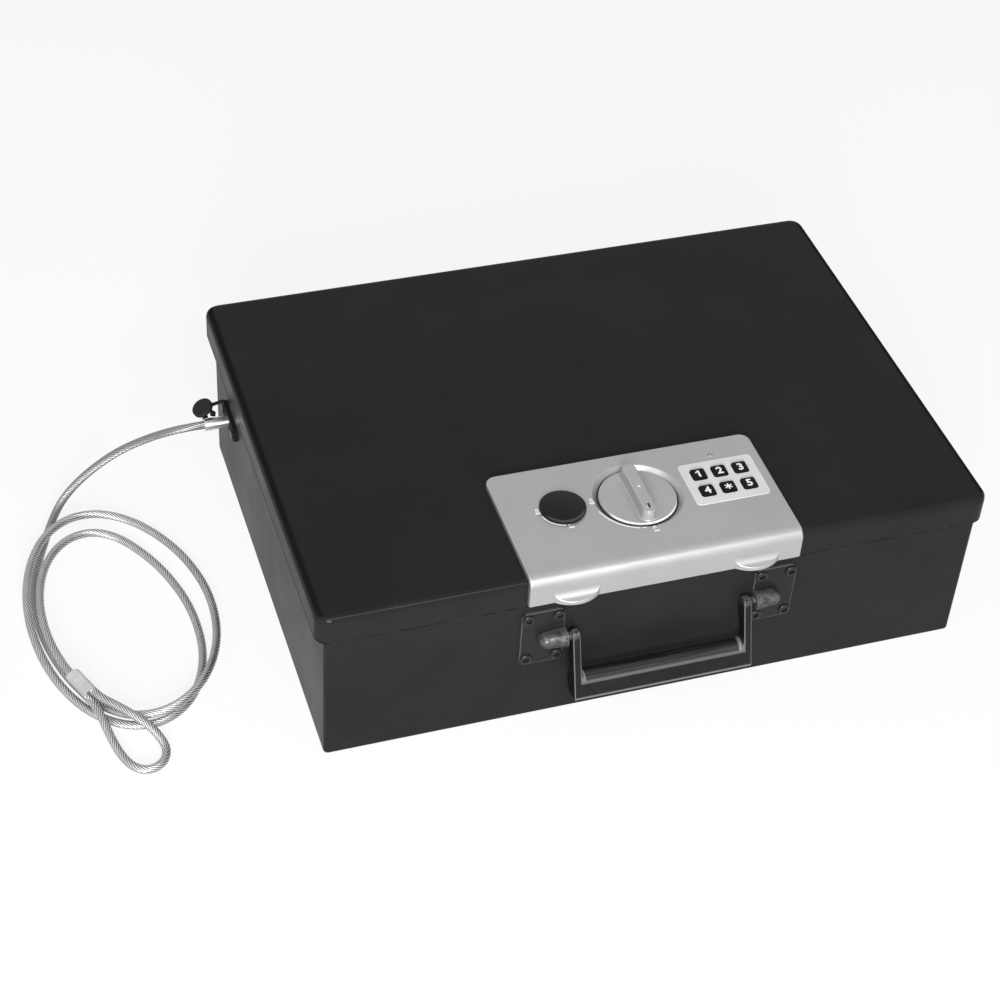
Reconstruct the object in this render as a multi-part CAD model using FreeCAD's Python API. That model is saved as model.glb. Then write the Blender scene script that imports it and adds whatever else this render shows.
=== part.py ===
import FreeCAD, Part
import math
import os

# A steel cash box with a lift-up lid, a carrying handle and a security cable.
# The lid carries a silver control panel with a keypad, a turning knob and a covered key lock.
# Millimetres. X runs along the front, -Y is the front, Z is up and the box stands on Z = 0.

Vec = FreeCAD.Vector
along_x = Vec(1, 0, 0)
along_y = Vec(0, 1, 0)
along_z = Vec(0, 0, 1)

# Box and lid
lid_width = 380.0
lid_depth = 270.0
box_height = 105.0
lid_skirt = 18.0
lid_sheet = 1.2
lid_corner_radius = 8.0
lid_edge_radius = 4.5
base_sheet = 1.2
base_inset_side = 4.3
base_inset_front = 2.2
base_inset_rear = 8.0
base_corner_radius = 2.6
base_floor_radius = 2.2
lid_rest_gap = 0.3
strike_depth = 12.0
strike_bend_radius = 4.5

# Fits shared by several pieces
running_fit = 0.05
hole_clearance = 0.15
slide_clearance = 0.3
cut_run = 8.0

# Hinge
hinge_length = 320.0
knuckle_count = 9
knuckle_clearance = 0.4
knuckle_end_gap = 0.4
hinge_pin_radius = 1.5
leaf_sheet = 1.2
leaf_down = 22.0
leaf_up = 12.5

# Control panel
panel_width = 154.0
panel_from_front = 80.4
panel_thickness = 3.2
panel_apron = 15.0
panel_bend_radius = 6.0
panel_corner_radius = 6.0
panel_edge_radius = 1.0
controls_from_front = 46.5
thumb_lip_from_side = 26.0
thumb_lip_half_chord = 13.0
thumb_lip_reach = 5.0
thumb_lip_up = 7.8
thumb_lip_hollow = 4.6
thumb_lip_sweep = 68.0
thumb_lip_under = 0.4
thumb_lip_edge_radius = 0.5
thumb_lip_sink = 0.05
panel_screw_from_side = 13.0
panel_screw_inset = 3.5
panel_screw_front = 24.0
panel_screw_radius = 1.5
panel_screw_head_radius = 3.0
panel_screw_head = 2.0
panel_screw_bite = 2.0

# Knob, spindle and bolt
dial_radius = 25.0
dial_recess = 2.6
dial_flare = 2.6
dial_rim_radius = 1.0
knob_radius = 21.4
knob_disc = 1.2
knob_edge_radius = 0.5
grip_length = 40.0
grip_foot_width = 8.2
grip_foot_round = 3.9
grip_top_width = 7.4
grip_top_round = 3.5
grip_end_taper = 0.5
grip_height = 7.5
grip_edge_radius = 1.0
grip_root_radius = 0.6
nose_length = 2.6
nose_step = 0.6
pointer_width = 1.2
pointer_length = 3.6
pointer_depth = 0.5
dot_radius = 0.9
dot_depth = 0.4
spindle_radius = 4.0
spindle_hole_radius = 6.0
crank_radius = 10.0
crank_sheet = 2.0
crank_lid_gap = 0.8
crank_bolt_gap = 0.4
crank_throw = 6.65
crank_pin_radius = 2.0
yoke_clearance = 0.35
knob_turn = 90.0
bolt_sheet = 3.6
bolt_nut_gap = 2.1
bolt_front = 14.5
bolt_back = 11.5
finger_width = 10.0
bolt_lock_hole_radius = 3.0

# Key lock under the round cover
cover_share = 0.3462
cover_radius = 12.75
cover_edge = 1.4
cover_crown = 1.2
cover_spigot_radius = 11.0
cover_spigot_wall = 0.9
cover_spigot = 1.2
cover_recess = 1.7
cylinder_radius = 9.0
cylinder_head_radius = 9.6
cylinder_head = 1.0
cylinder_length = 24.5
cylinder_nut_flats = 24.0
cylinder_nut = 4.5
core_radius = 5.0
core_tail = 4.0
key_slot_length = 7.0
key_slot_width = 1.6
key_slot_depth = 6.0
cam_reach = 12.0
cam_width = 6.0
cam_sheet = 2.0

# Keypad
label_dial_gap = 3.5
label_side_gap = 5.5
label_depth = 32.8
label_sheet = 0.3
label_corner_radius = 2.5
key_size = 8.2
key_corner_radius = 1.4
key_pitch_x = 12.2
key_pitch_y = 13.4
key_stand = 0.9
key_flange = 0.6
key_flange_sheet = 0.8
key_flange_gap = 0.2
key_travel_room = 1.0
board_sheet = 1.2
board_width = 44.0
board_depth = 41.0
board_shift_back = 4.0
board_post_radius = 2.0
board_stake_radius = 1.0
board_stake_tail = 0.5
board_post_inset = 2.6
lid_window_margin = 1.0
lid_window_radius = 3.0
lamp_radius = 1.25
lamp_back = 20.8
lamp_stand = 0.2

# Lock case under the lid, with the batteries and the solenoid
case_left_inset = 5.0
case_right_over = 3.0
case_from_front = 18.0
case_depth = 71.0
case_height = 29.8
case_wall = 1.8
case_corner_radius = 3.0
ear_length = 12.0
ear_width = 12.0
ear_sheet = 2.0
ear_inset = 12.0
stud_radius = 2.0
nut_flats = 7.0
nut_height = 3.2
stud_tail = 1.0
cell_radius = 7.25
cell_length = 49.2
cell_nub_radius = 2.75
cell_nub = 1.3
cell_gap = 1.0
cell_lift = 0.3
battery_side_gap = 4.2
battery_wall_gap = 0.6
battery_end_gap = 0.5
contact_sheet = 0.5
contact_width = 9.0
contact_height = 11.0
door_margin = 2.5
door_sheet = 1.6
rail_wall = 1.5
rail_lip = 1.5
rail_lip_sheet = 1.2
solenoid_from_knob = 14.0
solenoid_front = 9.0
solenoid_size = 16.0
solenoid_height = 17.0
plunger_radius = 2.4
plunger_gap = 0.4
plunger_depth = 10.0

# Handle and its brackets
bracket_spread = 66.5
bracket_width = 24.6
bracket_height = 38.6
bracket_sheet = 1.5
bracket_corner_radius = 4.0
bracket_edge_radius = 0.5
bracket_lid_gap = 6.3
boss_radius = 5.6
boss_length = 15.4
boss_tip_radius = 4.6
pivot_stand = 2.8
pivot_drop = 0.2
handle_pin_radius = 2.6
handle_pin_length = 12.0
rivet_pitch_x = 17.2
rivet_pitch_z = 29.3
rivet_head_radius = 3.5
rivet_head = 1.3
rivet_edge_radius = 0.9
rivet_dimple_radius = 1.7
rivet_dimple = 1.1
rivet_shank_radius = 2.0
rivet_clinch_radius = 2.8
rivet_clinch = 1.0
handle_gap = 2.8
leg_width = 4.2
leg_depth = 8.0
leg_length = 38.2
leg_tilt = 17.5
heel_gap = 0.3
heel_length = 8.0
grip_bar_height = 15.0
grip_bar_depth = 12.0
grip_bar_round = 5.5
grip_ledge = 0.6
grip_end_flare = 3.0
flare_sink = 0.05
flare_steps = 4
handle_edge_radius = 0.5

# Cable anchor on the left wall
anchor_y = 86.0
anchor_z = 55.0
anchor_length = 33.0
anchor_height = 10.5
anchor_sheet = 2.0
anchor_edge_radius = 0.6
anchor_end_flat = 0.12
anchor_rivet_pitch = 24.6
anchor_rivet_radius = 2.6
anchor_rivet_head = 1.0
anchor_rivet_shank = 1.5
ferrule_radius = 3.5
ferrule_length = 14.0
ferrule_collar_length = 4.5
ferrule_collar_step = 0.25
ferrule_lip = 0.5
stud_inside_radius = 2.4
washer_radius = 6.0
washer_sheet = 1.0
anchor_nut_flats = 8.0
anchor_nut = 4.0
anchor_stud_tail = 1.5
plug_out = 14.0
plug_back = 6.5
plug_up = 8.6
plug_facing = Vec(-0.46, -0.08, 0.885)
plug_radius = 6.3
plug_sheet = 2.2
plug_edge_radius = 0.8
prong_spread = 2.6
prong_radius = 1.3
prong_length = 9.6
prong_barb_radius = 1.9
prong_barb = 2.2
strap_width = 1.9
strap_sheet = 1.1
strap_foot = 2.4

# Cable: a clear-coated wire rope that ends in a crimped eye
cable_radius = 2.4
cable_floor_gap = 0.1
lead_points = [Vec(-209.7, 86.0, 55.0), Vec(-221.0, 88.5, 52.2), Vec(-234.0, 95.0, 44.0),
               Vec(-251.5, 99.3, 34.0), Vec(-269.0, 99.0, 22.5), Vec(-283.5, 94.6, 12.5),
               Vec(-293.2, 85.8, 5.5)]
coil_middle_x = -270.0
coil_middle_y = -5.0
coil_half_width = 49.0
coil_half_depth = 83.0
coil_start_heading = 248.0
coil_run_in = 15.0
coil_layer_rise = 6.0
coil_reach = [2.1, -6.1, 2.8, -1.7, 3.3, 1.0, -1.0, -18.8, -5.9]
coil_lag = [-1.4, -2.4, -4.1, 2.7, -0.2, -1.2, -10.3, 6.9, 9.7]
coil_layer = [0, 0, 1.46, 0, 1.3, 0, 0, 0, 1.3]
coil_first_angle = 135.0
coil_step_angle = 90.0
crimp_start_x = -305.5
crimp_start_y = -50.0
crimp_heading = 293.4
crimp_length = 18.0
crimp_width = 8.8
crimp_height = 8.4
crimp_round = 3.6
crimp_layer_rise = 7.1
eye_half_across = 1.9
eye_half_up = 1.75
eye_run_out = 6.0
eye_points = [Vec(-287.6, -78.3, 11.3), Vec(-280.0, -87.0, 10.8), Vec(-272.5, -95.2, 8.6),
              Vec(-268.0, -102.2, 5.2), Vec(-265.9, -109.0, 3.0), Vec(-268.3, -116.3, 2.5),
              Vec(-273.9, -120.5, 2.5), Vec(-280.3, -120.6, 2.5), Vec(-286.0, -116.4, 2.5),
              Vec(-290.3, -107.6, 3.0), Vec(-292.8, -98.0, 4.4), Vec(-294.6, -89.1, 6.2),
              Vec(-296.0, -81.0, 7.8)]
arc_share = 0.45
gap_sample_step = 2.0
gap_skip_diameters = 6.0

# Places worked out from the sizes above
lid_side = lid_width / 2
lid_front = -lid_depth / 2
lid_rear = lid_depth / 2
lid_under = box_height - lid_sheet
skirt_bottom = box_height - lid_skirt
base_side = lid_side - base_inset_side
base_front = lid_front + base_inset_front
base_rear = lid_rear - base_inset_rear
base_top = lid_under - lid_rest_gap
rear_gap = lid_rear - lid_sheet - base_rear
hinge_y = base_rear + rear_gap / 2
hinge_z = skirt_bottom
knuckle_radius = rear_gap / 2 - knuckle_clearance
panel_top = box_height + panel_thickness
panel_front = lid_front - panel_thickness
panel_back = lid_front + panel_from_front
apron_bottom = box_height - panel_apron
panel_side = panel_width / 2
thumb_lip_spread = panel_side - thumb_lip_from_side
panel_screw_spread = panel_side - panel_screw_from_side
controls_y = lid_front + controls_from_front
dial_floor = panel_top - dial_recess
label_width = panel_side - dial_radius - label_dial_gap - label_side_gap
keypad_from_knob = dial_radius + label_dial_gap + label_width / 2
cover_from_knob = dial_radius + cover_share * (panel_side - dial_radius)
bolt_half_width = cover_from_knob - cylinder_nut_flats / math.sqrt(3) - bolt_nut_gap
crank_top = lid_under - crank_lid_gap
bolt_top = crank_top - crank_sheet - crank_bolt_gap
bolt_bottom = bolt_top - bolt_sheet
bolt_stroke = 2 * crank_throw * math.sin(math.radians(knob_turn / 2))
case_left = panel_side - case_left_inset
case_right = panel_side + case_right_over
case_front = lid_front + case_from_front
case_rear = case_front + case_depth
case_bottom = lid_under - case_height
case_floor = case_bottom + case_wall
board_top = box_height - key_flange_gap - key_flange_sheet - key_travel_room
board_y = controls_y + board_shift_back
bracket_middle = skirt_bottom - bracket_lid_gap - bracket_height / 2
pivot_y = base_front - bracket_sheet - pivot_stand
pivot_z = bracket_middle - pivot_drop
handle_half = bracket_spread - bracket_width / 2 - handle_gap
anchor_face = -base_side - anchor_sheet
plug_centre = Vec(anchor_face - plug_out, anchor_y + plug_back, anchor_z + plug_up)
cable_low = cable_radius + cable_floor_gap
coil_middle = Vec(coil_middle_x, coil_middle_y, 0)
crimp_start = Vec(crimp_start_x, crimp_start_y, 0)


# Shape helpers

def box(x0, x1, y0, y1, z0, z1):
    return Part.makeBox(x1 - x0, y1 - y0, z1 - z0, Vec(x0, y0, z0))


def rounded_outline(x0, x1, y0, y1, radius, z):
    middle = radius * (1 - math.sqrt(0.5))
    corners = [(x1, y0, -1, 1), (x1, y1, -1, -1), (x0, y1, 1, -1), (x0, y0, 1, 1)]
    edges = []
    last = Vec(x0 + radius, y0, z)
    for number, (x, y, inward_x, inward_y) in enumerate(corners):
        side_x = Vec(x + inward_x * radius, y, z)
        side_y = Vec(x, y + inward_y * radius, z)
        start, end = (side_x, side_y) if number % 2 == 0 else (side_y, side_x)
        edges.append(Part.LineSegment(last, start).toShape())
        edges.append(Part.Arc(start, Vec(x + inward_x * middle, y + inward_y * middle, z), end).toShape())
        last = end
    return Part.Wire(edges)


def rounded_slab(x0, x1, y0, y1, z0, z1, radius):
    return Part.Face(rounded_outline(x0, x1, y0, y1, radius, z0)).extrude(Vec(0, 0, z1 - z0))


def hexagon(flats, height, x, y, z):
    reach = flats / math.sqrt(3)
    points = [Vec(x + reach * math.cos(math.radians(60 * n)), y + reach * math.sin(math.radians(60 * n)), z)
              for n in range(7)]
    return Part.Face(Part.makePolygon(points)).extrude(Vec(0, 0, height))


def post(radius, x, y, z0, z1):
    return Part.makeCylinder(radius, z1 - z0, Vec(x, y, z0))


def bore_along(way, radius, x, y, z):
    return Part.makeCylinder(radius, 2 * cut_run, Vec(x, y, z) - way * cut_run, way)


def fillet_where(shape, radius, wanted):
    edges = [edge for edge in shape.Edges if wanted(edge.BoundBox)]
    return shape.makeFillet(radius, edges)


def joined(shapes):
    return shapes[0].multiFuse(shapes[1:]).removeSplitter()


def group(shapes):
    return Part.makeCompound(shapes)


def export(node, shape):
    shape.exportStep("parts/" + node + ".step")


# Base tray and lid

def rivet_places():
    places = []
    for side in (-1, 1):
        for step_x in (-1, 1):
            for step_z in (-1, 1):
                places.append((side * bracket_spread + step_x * rivet_pitch_x / 2,
                               bracket_middle + step_z * rivet_pitch_z / 2))
    return places


def anchor_rivet_ys():
    return [anchor_y - anchor_rivet_pitch / 2, anchor_y + anchor_rivet_pitch / 2]


def base_shell():
    outer = rounded_slab(-base_side, base_side, base_front, base_rear, 0, base_top, base_corner_radius)
    outer = fillet_where(outer, base_floor_radius, lambda b: b.ZMax < base_floor_radius / 2)
    inner_side = base_side - base_sheet
    inner = rounded_slab(-inner_side, inner_side, base_front + base_sheet, base_rear - base_sheet,
                         base_sheet, base_top + base_sheet, base_corner_radius - base_sheet)
    inner = fillet_where(inner, base_floor_radius - base_sheet, lambda b: b.ZMax < base_floor_radius)
    tray = outer.cut(inner)
    strike = box(-inner_side, inner_side, base_front + base_sheet / 2,
                 base_front + base_sheet + strike_depth, base_top - base_sheet, base_top)
    bend_y = base_front + strike_bend_radius
    bend_z = base_top - strike_bend_radius
    inner_bend = strike_bend_radius - base_sheet
    corner = box(-inner_side, inner_side, bend_y - inner_bend, bend_y, bend_z, bend_z + inner_bend)
    corner = corner.cut(bend_bar(inner_bend, bend_y, bend_z))
    tray = joined([tray, strike, corner])
    outside = box(-lid_side, lid_side, base_front - cut_run, bend_y, bend_z, base_top + cut_run)
    cuts = [outside.cut(bend_bar(strike_bend_radius, bend_y, bend_z))]
    for x, z in rivet_places():
        cuts.append(bore_along(along_y, rivet_shank_radius + hole_clearance, x, base_front, z))
    for y in anchor_rivet_ys():
        cuts.append(bore_along(along_x, anchor_rivet_shank + hole_clearance, -base_side, y, anchor_z))
    cuts.append(bore_along(along_x, stud_inside_radius + hole_clearance, -base_side, anchor_y, anchor_z))
    return tray.cut(group(cuts))


def bend_bar(radius, y, z):
    return Part.makeCylinder(radius, lid_width, Vec(-lid_side, y, z), along_x)


def panel_screw_places():
    return [(side * panel_screw_spread, y) for side in (-1, 1)
            for y in (panel_back - panel_screw_inset, lid_front + panel_screw_front)]


def stud_places():
    xs = (-case_left - ear_length / 2, case_right + ear_length / 2)
    return [(x, y) for x in xs for y in (case_front + ear_inset, case_rear - ear_inset)]


def board_box(margin):
    return (keypad_from_knob - board_width / 2 - margin, keypad_from_knob + board_width / 2 + margin,
            board_y - board_depth / 2 - margin, board_y + board_depth / 2 + margin)


def lid_shell():
    outer = rounded_slab(-lid_side, lid_side, lid_front, lid_rear,
                         skirt_bottom, box_height, lid_corner_radius)
    outer = fillet_where(outer, lid_edge_radius, lambda b: b.ZMin > box_height - lid_sheet / 2)
    inner_side = lid_side - lid_sheet
    inner = rounded_slab(-inner_side, inner_side, lid_front + lid_sheet, lid_rear - lid_sheet,
                         skirt_bottom - lid_sheet, lid_under, lid_corner_radius - lid_sheet)
    inner = fillet_where(inner, lid_edge_radius - lid_sheet, lambda b: b.ZMin > lid_under - lid_sheet / 2)
    low = lid_under - lid_sheet
    high = box_height + lid_sheet
    holes = [post(spindle_hole_radius, 0, controls_y, low, high),
             post(cylinder_radius + slide_clearance, -cover_from_knob, controls_y, low, high),
             rounded_slab(*board_box(lid_window_margin), low, high, lid_window_radius)]
    for x, y in panel_screw_places():
        holes.append(post(panel_screw_radius + hole_clearance, x, y, low, high))
    return outer.cut(inner).cut(group(holes))


# Hinge along the rear

def knuckles(parity):
    pitch = hinge_length / knuckle_count
    spans = []
    for number in range(knuckle_count):
        if number % 2 == parity:
            start = -hinge_length / 2 + number * pitch + knuckle_end_gap / 2
            spans.append((start, start + pitch - knuckle_end_gap))
    return spans


def hinge_leaf(parity, y0, y1, z_far, z_near):
    plate = box(-hinge_length / 2, hinge_length / 2, y0, y1, min(z_far, z_near), max(z_far, z_near))
    solids = [plate]
    bores = []
    for x0, x1 in knuckles(parity):
        start = Vec(x0, hinge_y, hinge_z)
        solids.append(Part.makeCylinder(knuckle_radius, x1 - x0, start, along_x))
        solids.append(box(x0, x1, y0, y1, min(z_near, hinge_z), max(z_near, hinge_z)))
        bores.append(Part.makeCylinder(hinge_pin_radius + running_fit, x1 - x0, start, along_x))
    return joined(solids).cut(group(bores))


def hinge_base_leaf():
    return hinge_leaf(0, base_rear, base_rear + leaf_sheet, hinge_z - leaf_down,
                      hinge_z - knuckle_radius - slide_clearance)


def hinge_lid_leaf():
    return hinge_leaf(1, lid_rear - lid_sheet - leaf_sheet, lid_rear - lid_sheet, hinge_z + leaf_up,
                      hinge_z + knuckle_radius + slide_clearance)


def hinge_pin():
    start = Vec(-hinge_length / 2, hinge_y, hinge_z)
    return Part.makeCylinder(hinge_pin_radius, hinge_length, start, along_x)


# Control panel with its bent apron and thumb lips

def panel_blank():
    inner_bend = panel_bend_radius - panel_thickness
    outer_in = panel_bend_radius * (1 - math.sqrt(0.5))
    inner_in = inner_bend * (1 - math.sqrt(0.5))
    outer_middle = Vec(0, panel_front + outer_in, panel_top - outer_in)
    inner_middle = Vec(0, lid_front + inner_in, box_height - inner_in)
    back_low = Vec(0, panel_back, box_height)
    back_high = Vec(0, panel_back, panel_top)
    bend_back = Vec(0, panel_front + panel_bend_radius, panel_top)
    bend_front = Vec(0, panel_front, panel_top - panel_bend_radius)
    foot_front = Vec(0, panel_front, apron_bottom)
    foot_rear = Vec(0, lid_front, apron_bottom)
    inner_front = Vec(0, lid_front, box_height - inner_bend)
    inner_back = Vec(0, lid_front + inner_bend, box_height)
    profile = Part.Wire([Part.LineSegment(back_low, back_high).toShape(),
                         Part.LineSegment(back_high, bend_back).toShape(),
                         Part.Arc(bend_back, outer_middle, bend_front).toShape(),
                         Part.LineSegment(bend_front, foot_front).toShape(),
                         Part.LineSegment(foot_front, foot_rear).toShape(),
                         Part.LineSegment(foot_rear, inner_front).toShape(),
                         Part.Arc(inner_front, inner_middle, inner_back).toShape(),
                         Part.LineSegment(inner_back, back_low).toShape()])
    profile.translate(Vec(-panel_side, 0, 0))
    blank = Part.Face(profile).extrude(Vec(panel_width, 0, 0))
    blank = fillet_where(blank, panel_corner_radius,
                         lambda b: b.YMin > panel_back - panel_edge_radius and b.XLength < panel_edge_radius)

    def on_rim(b):
        top = b.ZMin > panel_top - panel_edge_radius / 2
        front = b.YMax < panel_front + panel_edge_radius / 2
        bend = b.ZMin > bend_front.z - panel_edge_radius / 2 and b.YMax < bend_back.y + panel_edge_radius / 2
        outside = b.YMin < panel_front + panel_bend_radius / 2
        side = b.XLength < panel_edge_radius
        return (top and b.YMax > bend_back.y + panel_edge_radius) or (side and (front or (bend and outside)))
    return fillet_where(blank, panel_edge_radius, on_rim)


def thumb_lip(side):
    start = Vec(0, panel_front + thumb_lip_sink, apron_bottom + thumb_lip_up)

    def on_hollow(share):
        angle = math.radians(thumb_lip_sweep * share)
        return start + Vec(0, math.cos(angle) - 1, -math.sin(angle)) * thumb_lip_hollow
    end = on_hollow(1)
    slope = math.radians(thumb_lip_sweep)
    tip = end - Vec(0, math.sin(slope), math.cos(slope)) * thumb_lip_reach
    rear_y = panel_front + panel_thickness / 2
    under_z = apron_bottom + thumb_lip_under
    corners = [end, tip, Vec(0, tip.y, under_z), Vec(0, rear_y, under_z), Vec(0, rear_y, start.z), start]
    profile = Part.Wire([Part.Arc(start, on_hollow(0.5), end).toShape()]
                        + [Part.LineSegment(a, b).toShape() for a, b in zip(corners, corners[1:])])
    bar = Part.Face(profile).extrude(Vec(2 * thumb_lip_half_chord, 0, 0))
    bar.translate(Vec(side * thumb_lip_spread - thumb_lip_half_chord, 0, 0))
    rim_radius = (thumb_lip_half_chord ** 2 + thumb_lip_reach ** 2) / (2 * thumb_lip_reach)
    rim = post(rim_radius, side * thumb_lip_spread, panel_front - thumb_lip_reach + rim_radius,
               apron_bottom, start.z)
    lip = bar.common(rim)
    rim_middle = panel_front - thumb_lip_reach
    return fillet_where(lip, thumb_lip_edge_radius,
                        lambda b: b.YMin < rim_middle + thumb_lip_edge_radius / 2)


def key_places():
    places = {}
    names = ("key_1", "key_2", "key_3", "key_4", "key_star", "key_5")
    for number, name in enumerate(names):
        row, column = divmod(number, 3)
        places[name] = (keypad_from_knob + (column - 1) * key_pitch_x,
                        controls_y + (0.5 - row) * key_pitch_y)
    return places


def key_column(x, y, size, z0, z1, radius):
    return rounded_slab(x - size / 2, x + size / 2, y - size / 2, y + size / 2, z0, z1, radius)


def board_post_places():
    x0, x1, y0, y1 = board_box(-board_post_inset)
    return [(x, y) for x in (x0, x1) for y in (y0, y1)]


def lock_panel():
    body = joined([panel_blank(), thumb_lip(-1), thumb_lip(1)])
    posts = []
    for x, y in board_post_places():
        posts.append(post(board_post_radius, x, y, board_top, box_height))
        posts.append(post(board_stake_radius, x, y, board_top - board_sheet - board_stake_tail, board_top))
    body = joined([body] + posts)
    recess = Part.makeCone(dial_radius - dial_flare, dial_radius, dial_recess, Vec(0, controls_y, dial_floor))
    body = body.cut(recess)

    def on_dial_rim(b):
        return b.ZMin > panel_top - dial_rim_radius / 2 and abs(b.XLength - 2 * dial_radius) < dial_rim_radius
    body = fillet_where(body, dial_rim_radius, on_dial_rim)
    low = box_height - panel_thickness
    cover_x = -cover_from_knob
    lamp_y = controls_y + lamp_back
    cuts = [post(spindle_radius + running_fit, 0, controls_y, low, panel_top),
            post(cover_spigot_radius + slide_clearance, cover_x, controls_y,
                 panel_top - cover_recess, panel_top),
            post(cylinder_radius + hole_clearance, cover_x, controls_y, low, panel_top),
            post(lamp_radius + hole_clearance, keypad_from_knob, lamp_y, low, panel_top)]
    for x, y in key_places().values():
        cuts.append(key_column(x, y, key_size + 2 * slide_clearance, low, panel_top,
                               key_corner_radius + slide_clearance))
    for x, y in panel_screw_places():
        cuts.append(post(panel_screw_radius + running_fit, x, y, low, box_height + panel_screw_bite))
    return body.cut(group(cuts))


def panel_screws():
    screws = []
    for x, y in panel_screw_places():
        head = post(panel_screw_head_radius, x, y, lid_under - panel_screw_head, lid_under)
        shank = post(panel_screw_radius, x, y, lid_under, box_height + panel_screw_bite)
        screws.append(joined([head, shank]))
    return group(screws)


# Knob, spindle, crank and bolt

def knob_grip(foot_z, crest_z):
    foot = rounded_outline(-grip_foot_width / 2, grip_foot_width / 2, controls_y - grip_length / 2,
                           controls_y + grip_length / 2, grip_foot_round, foot_z)
    crest_front = controls_y - grip_length / 2 + grip_end_taper
    crest = rounded_outline(-grip_top_width / 2, grip_top_width / 2, crest_front,
                            controls_y + grip_length / 2 - grip_end_taper, grip_top_round, crest_z)
    grip = Part.makeLoft([foot, crest], True, True)
    grip = fillet_where(grip, grip_edge_radius, lambda b: b.ZMin > crest_z - grip_edge_radius / 2)
    nose_round = grip_top_width / 2
    nose_y = crest_front + nose_length + nose_round
    nose = box(-grip_foot_width / 2, grip_foot_width / 2, crest_front - grip_end_taper, nose_y,
               crest_z - nose_step, crest_z + cut_run)
    nose = nose.cut(post(nose_round, 0, nose_y, crest_z - cut_run, crest_z + 2 * cut_run))
    pointer = box(-pointer_width / 2, pointer_width / 2, crest_front + nose_length,
                  crest_front + nose_length + pointer_length, crest_z - pointer_depth, crest_z + cut_run)
    dot = post(dot_radius, 0, controls_y, crest_z - dot_depth, crest_z + cut_run)
    return grip.cut(group([nose, pointer, dot]))


def dial_knob():
    bottom = dial_floor + slide_clearance
    top = bottom + knob_disc
    disc = post(knob_radius, 0, controls_y, bottom, top)
    disc = fillet_where(disc, knob_edge_radius, lambda b: b.ZMin > top - knob_edge_radius / 2)
    knob = joined([disc, knob_grip(top - knob_disc / 2, top + grip_height)])
    grip_half = grip_length / 2
    return fillet_where(knob, grip_root_radius, lambda b: b.ZLength < knob_disc / 4
                        and abs(b.ZMin - top) < knob_disc / 4 and b.XMax < grip_half and b.XMin > -grip_half)


def knob_spindle():
    return post(spindle_radius, 0, controls_y, crank_top - crank_sheet, dial_floor + slide_clearance)


def crank_place():
    angle = math.radians(knob_turn / 2)
    return crank_throw * math.cos(angle), controls_y + crank_throw * math.sin(angle)


def crank_disc():
    x, y = crank_place()
    disc = post(crank_radius, 0, controls_y, crank_top - crank_sheet, crank_top)
    disc = disc.cut(post(spindle_radius, 0, controls_y, crank_top - 2 * crank_sheet, crank_top + crank_sheet))
    return joined([disc, post(crank_pin_radius, x, y, bolt_bottom, crank_top - crank_sheet)])


def finger_middles():
    return [side * (bolt_half_width - finger_width / 2) for side in (-1, 1)]


def bolt_bar():
    pin_x, pin_y = crank_place()
    bar = box(-bolt_half_width, bolt_half_width, controls_y - bolt_front, controls_y + bolt_back,
              bolt_bottom, bolt_top)
    fingers = [box(x - finger_width / 2, x + finger_width / 2, case_front, controls_y, bolt_bottom, bolt_top)
               for x in finger_middles()]
    slot_half = crank_pin_radius + yoke_clearance
    slot = box(pin_x - slot_half, crank_throw + slot_half, pin_y - slot_half, pin_y + slot_half,
               bolt_bottom - bolt_sheet, bolt_top + bolt_sheet)
    lock_hole = post(bolt_lock_hole_radius, -solenoid_from_knob, controls_y - solenoid_front + bolt_stroke,
                     bolt_bottom - bolt_sheet, bolt_top + bolt_sheet)
    return joined([bar] + fingers).cut(group([slot, lock_hole]))


# Key lock

def key_cover():
    x = -cover_from_knob
    crown = panel_top + cover_edge + cover_crown
    crown_radius = (cover_radius ** 2 + cover_crown ** 2) / (2 * cover_crown)
    dome = post(cover_radius, x, controls_y, panel_top, crown)
    dome = dome.common(Part.makeSphere(crown_radius, Vec(x, controls_y, crown - crown_radius)))
    ring = post(cover_spigot_radius, x, controls_y, panel_top - cover_spigot, panel_top)
    hollow = post(cover_spigot_radius - cover_spigot_wall, x, controls_y,
                  panel_top - 2 * cover_spigot, panel_top)
    return joined([dome, ring.cut(hollow)])


def override_body():
    x = -cover_from_knob
    seat = panel_top - cover_recess
    bottom = seat - cylinder_length
    body = joined([post(cylinder_head_radius, x, controls_y, seat, seat + cylinder_head),
                   post(cylinder_radius, x, controls_y, bottom, seat)])
    return body.cut(post(core_radius + running_fit, x, controls_y, bottom - cut_run, seat + cut_run))


def override_nut():
    nut = hexagon(cylinder_nut_flats, cylinder_nut, -cover_from_knob, controls_y, lid_under - cylinder_nut)
    return nut.cut(post(cylinder_radius + running_fit, -cover_from_knob, controls_y,
                        lid_under - 2 * cylinder_nut, box_height))


def override_core():
    x = -cover_from_knob
    top = panel_top - cover_recess + cylinder_head
    bottom = panel_top - cover_recess - cylinder_length - core_tail
    core = post(core_radius, x, controls_y, bottom, top)
    slot = box(x - key_slot_width / 2, x + key_slot_width / 2, controls_y - key_slot_length / 2,
               controls_y + key_slot_length / 2, top - key_slot_depth, top + key_slot_depth)
    cam = box(x - cam_width / 2, x + cam_width / 2, controls_y - cam_reach, controls_y,
              bottom, bottom + cam_sheet)
    return joined([core, cam]).cut(slot)


# Keypad

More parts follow.
